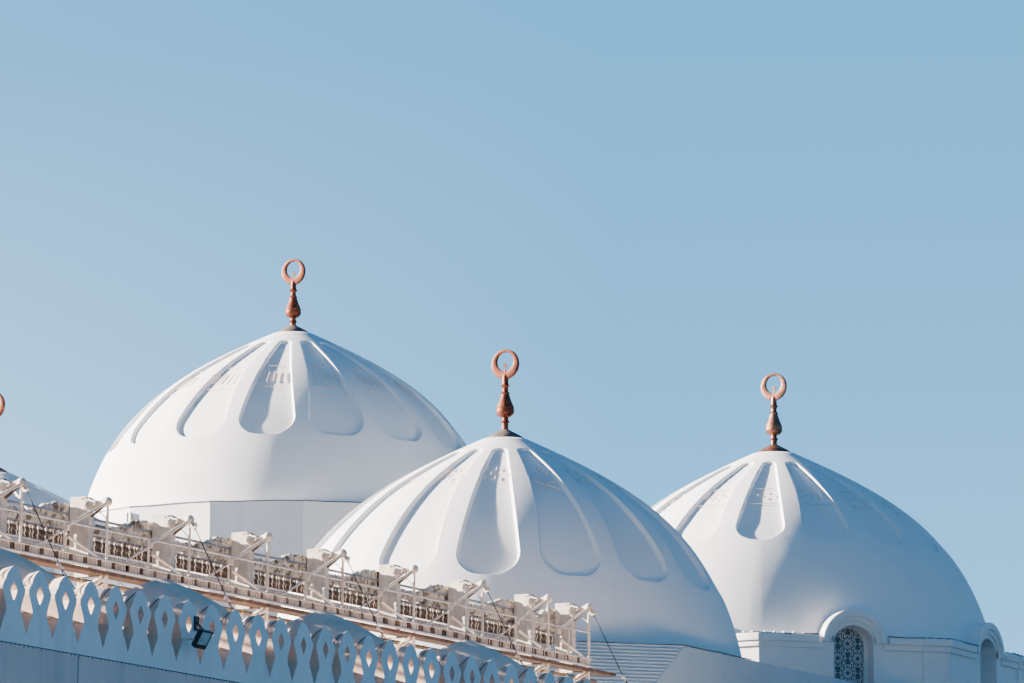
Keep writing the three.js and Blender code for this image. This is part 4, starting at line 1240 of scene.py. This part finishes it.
def buildSmallThings():
    grid, out, path = hall["grid"], smallShape["drumFace"] + 0.05, smallShape["wire"]
    pipes = [rodAlong((out, shift, hall["blockTop"]), (out, shift, smallShape["pipeTop"]), 0.035)
             for shift in smallShape["pipes"]]
    copies = placed(pipes, *[moved(grid, grid) @ rotated(math.pi + k * quarter) for k in range(4)])
    finishPiece(gather(copies), "left_drum_rain_pipes", ["paleSteel"], "cream_steel", [], 40)
    wire = [wireAlong(a, b, 0.008) for a, b in zip(path, path[1:])]
    x, y, z = path[0]
    wire.append(wireAlong((x, y, z), (x, y, z - 0.03), 0.018))
    copies = []
    for side in longSides:
        for i in range(hall["merlons"]):
            if i % 5 != 3:
                at = hall["west"] + (i + 0.5) * (hall["east"] - hall["west"]) / hall["merlons"]
                copies += placed(wire, parapetPlace(side, at))
    left, right, low, high = smallShape["joint"]
    line = [boxAt(left, right, hall["front"] - 0.004, hall["front"] + 0.002, low, high)]
    copies += placed(line, *longSides.values())
    finishPiece(gather(copies), "parapet_wires", ["steelWire"], "steel_wire", [], 30)


# Strips and rows of short spikes on the petals' upper ends: height of the lower line, of the dashes' two ends
# and of the upper line; the bits that a row of dashes is broken into; and the loose strips on one petal
stripShape = {"left": (3.63, 3.81, 4.15, 4.35), "right": (3.9, 4.05, 4.3, 4.38), "centre": (0, 4.3, 4.72, 0),
              "far_left": (0, 4.3, 4.72, 0), "margin": 0.14, "bits": ((0.05, 0.24), (0.4, 0.2), (0.72, 0.22)),
              "looseOn": 10, "loose": [((-0.4, 4.0), (0.25, 4.3)), ((-0.3, 4.28), (0.35, 4.02)),
                                       ((-0.05, 3.98), (0.0, 4.4))]}


def onPetal(place, petal, across, height, lift):
    radius = lineAt(height, 1)[0]
    near, far = lineAt(height - 0.02, 1), lineAt(height + 0.02, 1)
    slope = Vector((far[1] - near[1], near[0] - far[0])).normalized()
    sink = petalDepth(petalWidth(radius, height, place["petalFoot"]), across, 2, 2) - lift
    spot = Vector((radius - sink * slope.x, across, height - sink * slope.y)) * place["grow"]
    turn = rotated(petal * 2 * math.pi / domeShape["petals"] + math.radians(place["turn"]))
    return moved(place["x"], place["y"], place["seat"] + place["plinth"]) @ turn @ spot


def petalStrips(place, petal):
    low, dashLow, dashHigh, high = stripShape[place["name"]]
    whole = place["name"] == "left"

    def spot(across, height, lift):
        return onPetal(place, petal, across, height, lift)

    def halfAt(height):
        return petalWidth(lineAt(height, 1)[0], height, place["petalFoot"]) - stripShape["margin"]
    parts = [wireAlong(spot(-halfAt(height), height, 0.03), spot(halfAt(height), height, 0.03), 0.009)
             for height in (low, high) if height]
    for i in range(5):
        across, lift = halfAt(dashLow) * (i - 2) / 2, 0.03 + 0.02 * abs(math.sin(petal * 3 + i))
        for bit, size in ((0.0, 1.0),) if whole else stripShape["bits"]:
            if whole or math.sin(petal * 5.1 + i * 2.7 + bit * 9) >= -0.35:
                ends = [spot(across * (1 - 0.18 * part), dashLow + (dashHigh - dashLow) * part, lift)
                        for part in (bit, bit + size)]
                parts.append(wireAlong(*ends, 0.012 if whole else 0.009))
    if place["name"] == "centre" and petal == stripShape["looseOn"]:
        parts += [wireAlong(spot(*a, 0.05), spot(*b, 0.05), 0.013) for a, b in stripShape["loose"]]
    return parts


def buildStrips():
    for place in domePlaces:
        copies = [copy for petal in range(domeShape["petals"]) for copy in petalStrips(place, petal)]
        name = place["name"] + "_dome_spike_strips"
        finishPiece(gather(copies), name, ["kerbRenderPaintedWarmLight"], "steel_wire", [], 30)


buildSmallThings()
buildStrips()
print("gutters, courses and strips fixed")


# glass, frames and bars of the lower windows, and the frame of the west doorway
windowShape = {"half": 0.65, "sill": 4.2, "spring": 6.95, "top": 7.6, "bars": (5.1, 6.02, 6.95), "pane": 0.31,
               "doorHalf": 1.3, "doorSpring": 3.3}


def windowParts():
    half, sill, spring, top = (windowShape[key] for key in ("half", "sill", "spring", "top"))
    outer, inner = half + 0.01, half - 0.06
    arch = archShape([(outer, -0.03), (outer, 0.03), (inner, 0.03), (inner, -0.03)], spring)
    parts = [(arch, unmoved, 0), boxAt(-0.05, 0.05, -half, half, sill, sill + 0.07),
             boxAt(-0.025, 0.025, -0.03, 0.03, sill, top - 0.02),
             boxAt(-0.006, 0.006, -half, half, sill, top, 1)]
    for y, deep, wide in ((half - 0.025, 0.03, 0.035), (windowShape["pane"], 0.014, 0.012)):
        parts += [boxAt(-deep, deep, side * y - wide, side * y + wide, sill, spring) for side in (-1, 1)]
    return parts + [boxAt(-0.02, 0.02, -half, half, z - 0.02, z + 0.02) for z in windowShape["bars"]]


def doorwayParts():
    reach, spring = windowShape["doorHalf"], windowShape["doorSpring"]
    posts = [side * (reach - 0.035) for side in (-1, 1)]
    return [boxAt(-0.07, 0.07, y - 0.04, y + 0.04, 0, spring) for y in posts] + [
        boxAt(-0.05, 0.05, -reach, reach, spring - 0.05, spring + 0.05)]


def buildWindows():
    parts, depth, turn = windowParts(), hall["wall"] / 2, rotated(quarter)
    hallBay = (hall["east"] - hall["hallFace"]) / 6
    xs = longBays + [hall["hallFace"] + hallBay * (i + 0.5) for i in range(6)]
    west, east = hall["west"] + depth, hall["east"] - depth
    walls = {"front": [moved(x, hall["front"] + depth) @ turn for x in xs],
             "back": [moved(x, hall["back"] - depth) @ turn for x in xs],
             "west": [moved(west, y) for y in endBays if abs(y - middleY) > 1],
             "east": [moved(east, y) for y in endBays]}
    for name, places in walls.items():
        copies = placed(parts, *places)
        if name == "west":
            copies += placed(doorwayParts(), moved(west, middleY))
        finishPiece(gather(copies), f"{name}_windows_glazed", ["screenWhite", "darkGlass"],
                    "screen_white", [], 30)


buildWindows()
print("windows glazed")


# camera, light and floor; the camera's focal length is in pixels of a picture 1024 wide
view = {"place": (-55.042, -37.085, 0.8), "yaw": 28.5753, "pitch": 9.2459, "roll": 0.2873,
        "focal": 5640.72, "width": 1024, "sensor": 36}
sunlight = {"toSun": (-0.33, 0.95), "height": 17, "colour": (1.0, 0.88, 0.78), "size": 1.0,
            "onBuilding": 42.0, "onFloor": 3.2}
skyLight = {"stops": [(0.0, (0.85, 1.55, 2.3)), (0.10, (0.38, 1.02, 1.76)), (0.16, (0.235, 0.79, 1.42)),
                      (0.225, (0.155, 0.66, 1.30)), (0.5, (0.10, 0.42, 0.95)), (1.0, (0.07, 0.30, 0.75))],
            "glow": (0.98, 1.3, 1.65), "glowWay": (-0.33, 0.94, 0), "sunward": (0.14, 0.5, 0.0, 0.8),
            "low": (0.09, 0.21, 1.0, 0.12), "brightest": 2.5, "seen": 1.0, "light": 0.56}


def buildCamera():
    yaw, pitch, roll = (math.radians(view[key]) for key in ("yaw", "pitch", "roll"))
    forward = Vector((math.cos(yaw) * math.cos(pitch), math.sin(yaw) * math.cos(pitch), math.sin(pitch)))
    right = Vector((math.sin(yaw), -math.cos(yaw), 0))
    up = right.cross(forward)
    right, up = (math.cos(roll) * right + math.sin(roll) * up, -math.sin(roll) * right + math.cos(roll) * up)
    data = bpy.data.cameras.new("viewpoint")
    data.sensor_fit = "HORIZONTAL"
    data.sensor_width = view["sensor"]
    data.lens = view["sensor"] * view["focal"] / view["width"]
    data.clip_start = 0.5
    data.clip_end = 400
    camera = bpy.data.objects.new("viewpoint", data)
    bpy.context.scene.collection.objects.link(camera)
    camera.matrix_world = moved(*view["place"]) @ Matrix((right, up, -forward)).transposed().to_4x4()
    bpy.context.scene.camera = camera


# A lamp for one object only, or for all but that object
def sunLamp(name, power, floor, state):
    data = bpy.data.lights.new(name, "SUN")
    data.energy = power
    data.color = sunlight["colour"]
    data.angle = math.radians(sunlight["size"])
    sun = bpy.data.objects.new(name, data)
    rise = math.radians(sunlight["height"])
    towards = Vector((*sunlight["toSun"], 0)).normalized() * math.cos(rise) + Vector((0, 0, math.sin(rise)))
    sun.rotation_euler = towards.to_track_quat("Z", "Y").to_euler()
    bpy.context.scene.collection.objects.link(sun)
    group = bpy.data.collections.new(name + "Group")
    group.objects.link(floor)
    group.collection_objects[0].light_linking.link_state = state
    sun.light_linking.receiver_collection = group


# The bright sun leaves the floor to a weaker one, so that the floor doesn't light the shaded walls
def buildLight(floor):
    sunLamp("lowSun", sunlight["onBuilding"], floor, "EXCLUDE")
    sunLamp("floorSun", sunlight["onFloor"], floor, "INCLUDE")
    world = bpy.data.worlds.new("paleSky")
    world.use_nodes = True
    sky, brightest = NodeBench(world.node_tree), skyLight["brightest"]
    way = sky.node("ShaderNodeTexCoord").outputs["Generated"]
    height = sky.node("ShaderNodeSeparateXYZ", Vector=way).outputs["Z"]
    band = sky.ramp(height, [(where, tuple(part / brightest for part in colour))
                             for where, colour in skyLight["stops"]])
    # paler towards the sun and low down, only where the sky itself is seen
    facing = sky.node("ShaderNodeVectorMath", operation="DOT_PRODUCT", Vector=way)
    facing.inputs[1].default_value = skyLight["glowWay"]
    seen = sky.node("ShaderNodeLightPath").outputs["Is Camera Ray"]
    sunward = sky.fitted(facing.outputs["Value"], *skyLight["sunward"])
    share = sky.product(sky.product(sunward, sky.fitted(height, *skyLight["low"])), seen)
    background = sky.tree.nodes["Background"].inputs
    sky.feed(background["Color"], sky.mix(share, band, skyLight["glow"]))
    sky.feed(background["Strength"], sky.fitted(seen, 0, 1, brightest * skyLight["light"],
                                                brightest * skyLight["seen"]))
    bpy.context.scene.world = world


def buildGround():
    ground = added(bpy.ops.mesh.primitive_plane_add, size=400, location=(0, 0, -0.002))
    ground.name = "paleFloor"
    pale = Finish("paleFloor")
    shade = pale.ramp(pale.noise(0.4, 3), [(0.3, (0.52, 0.50, 0.47)), (0.7, (0.56, 0.54, 0.51))])
    ground.data.materials.append(pale.surface(shade, 0.9))
    return ground


buildCamera()
buildLight(buildGround())


# finishes of the carried solids, by slot and for some nodes by name
carried = {"floor_stone": "floorStone", "white_render": "whiteRender", "grey_render": "greyRender",
           "cream_steel": "creamSteel", "rusty_deck": "rustyTimber", "canopy_canvas": "canopyCanvas",
           "black_metal": "blackMetal", "screen_white": "screenWhite", "copper": "copper",
           "hall_roof": "roofRenderPaintedShade", "block_roof": "roofRenderPaintedShade", "block_walls": "blockRenderPaintedShade",
           "front_wall": "wallRenderPaintedWarmLight", "back_wall": "wallRenderPaintedWarmLight", "west_wall": "wallRenderPaintedWarmLight",
           "east_wall": "wallRenderPaintedWarmLight"}
for part in frame["record"]["subparts"]:
    finish = carried.get(part["node"], carried[part["material_slot"]])
    slots = frame["nodes"][part["node"]].data.materials
    slots.clear()
    slots.append(materials[finish])
print("carried solids finished")
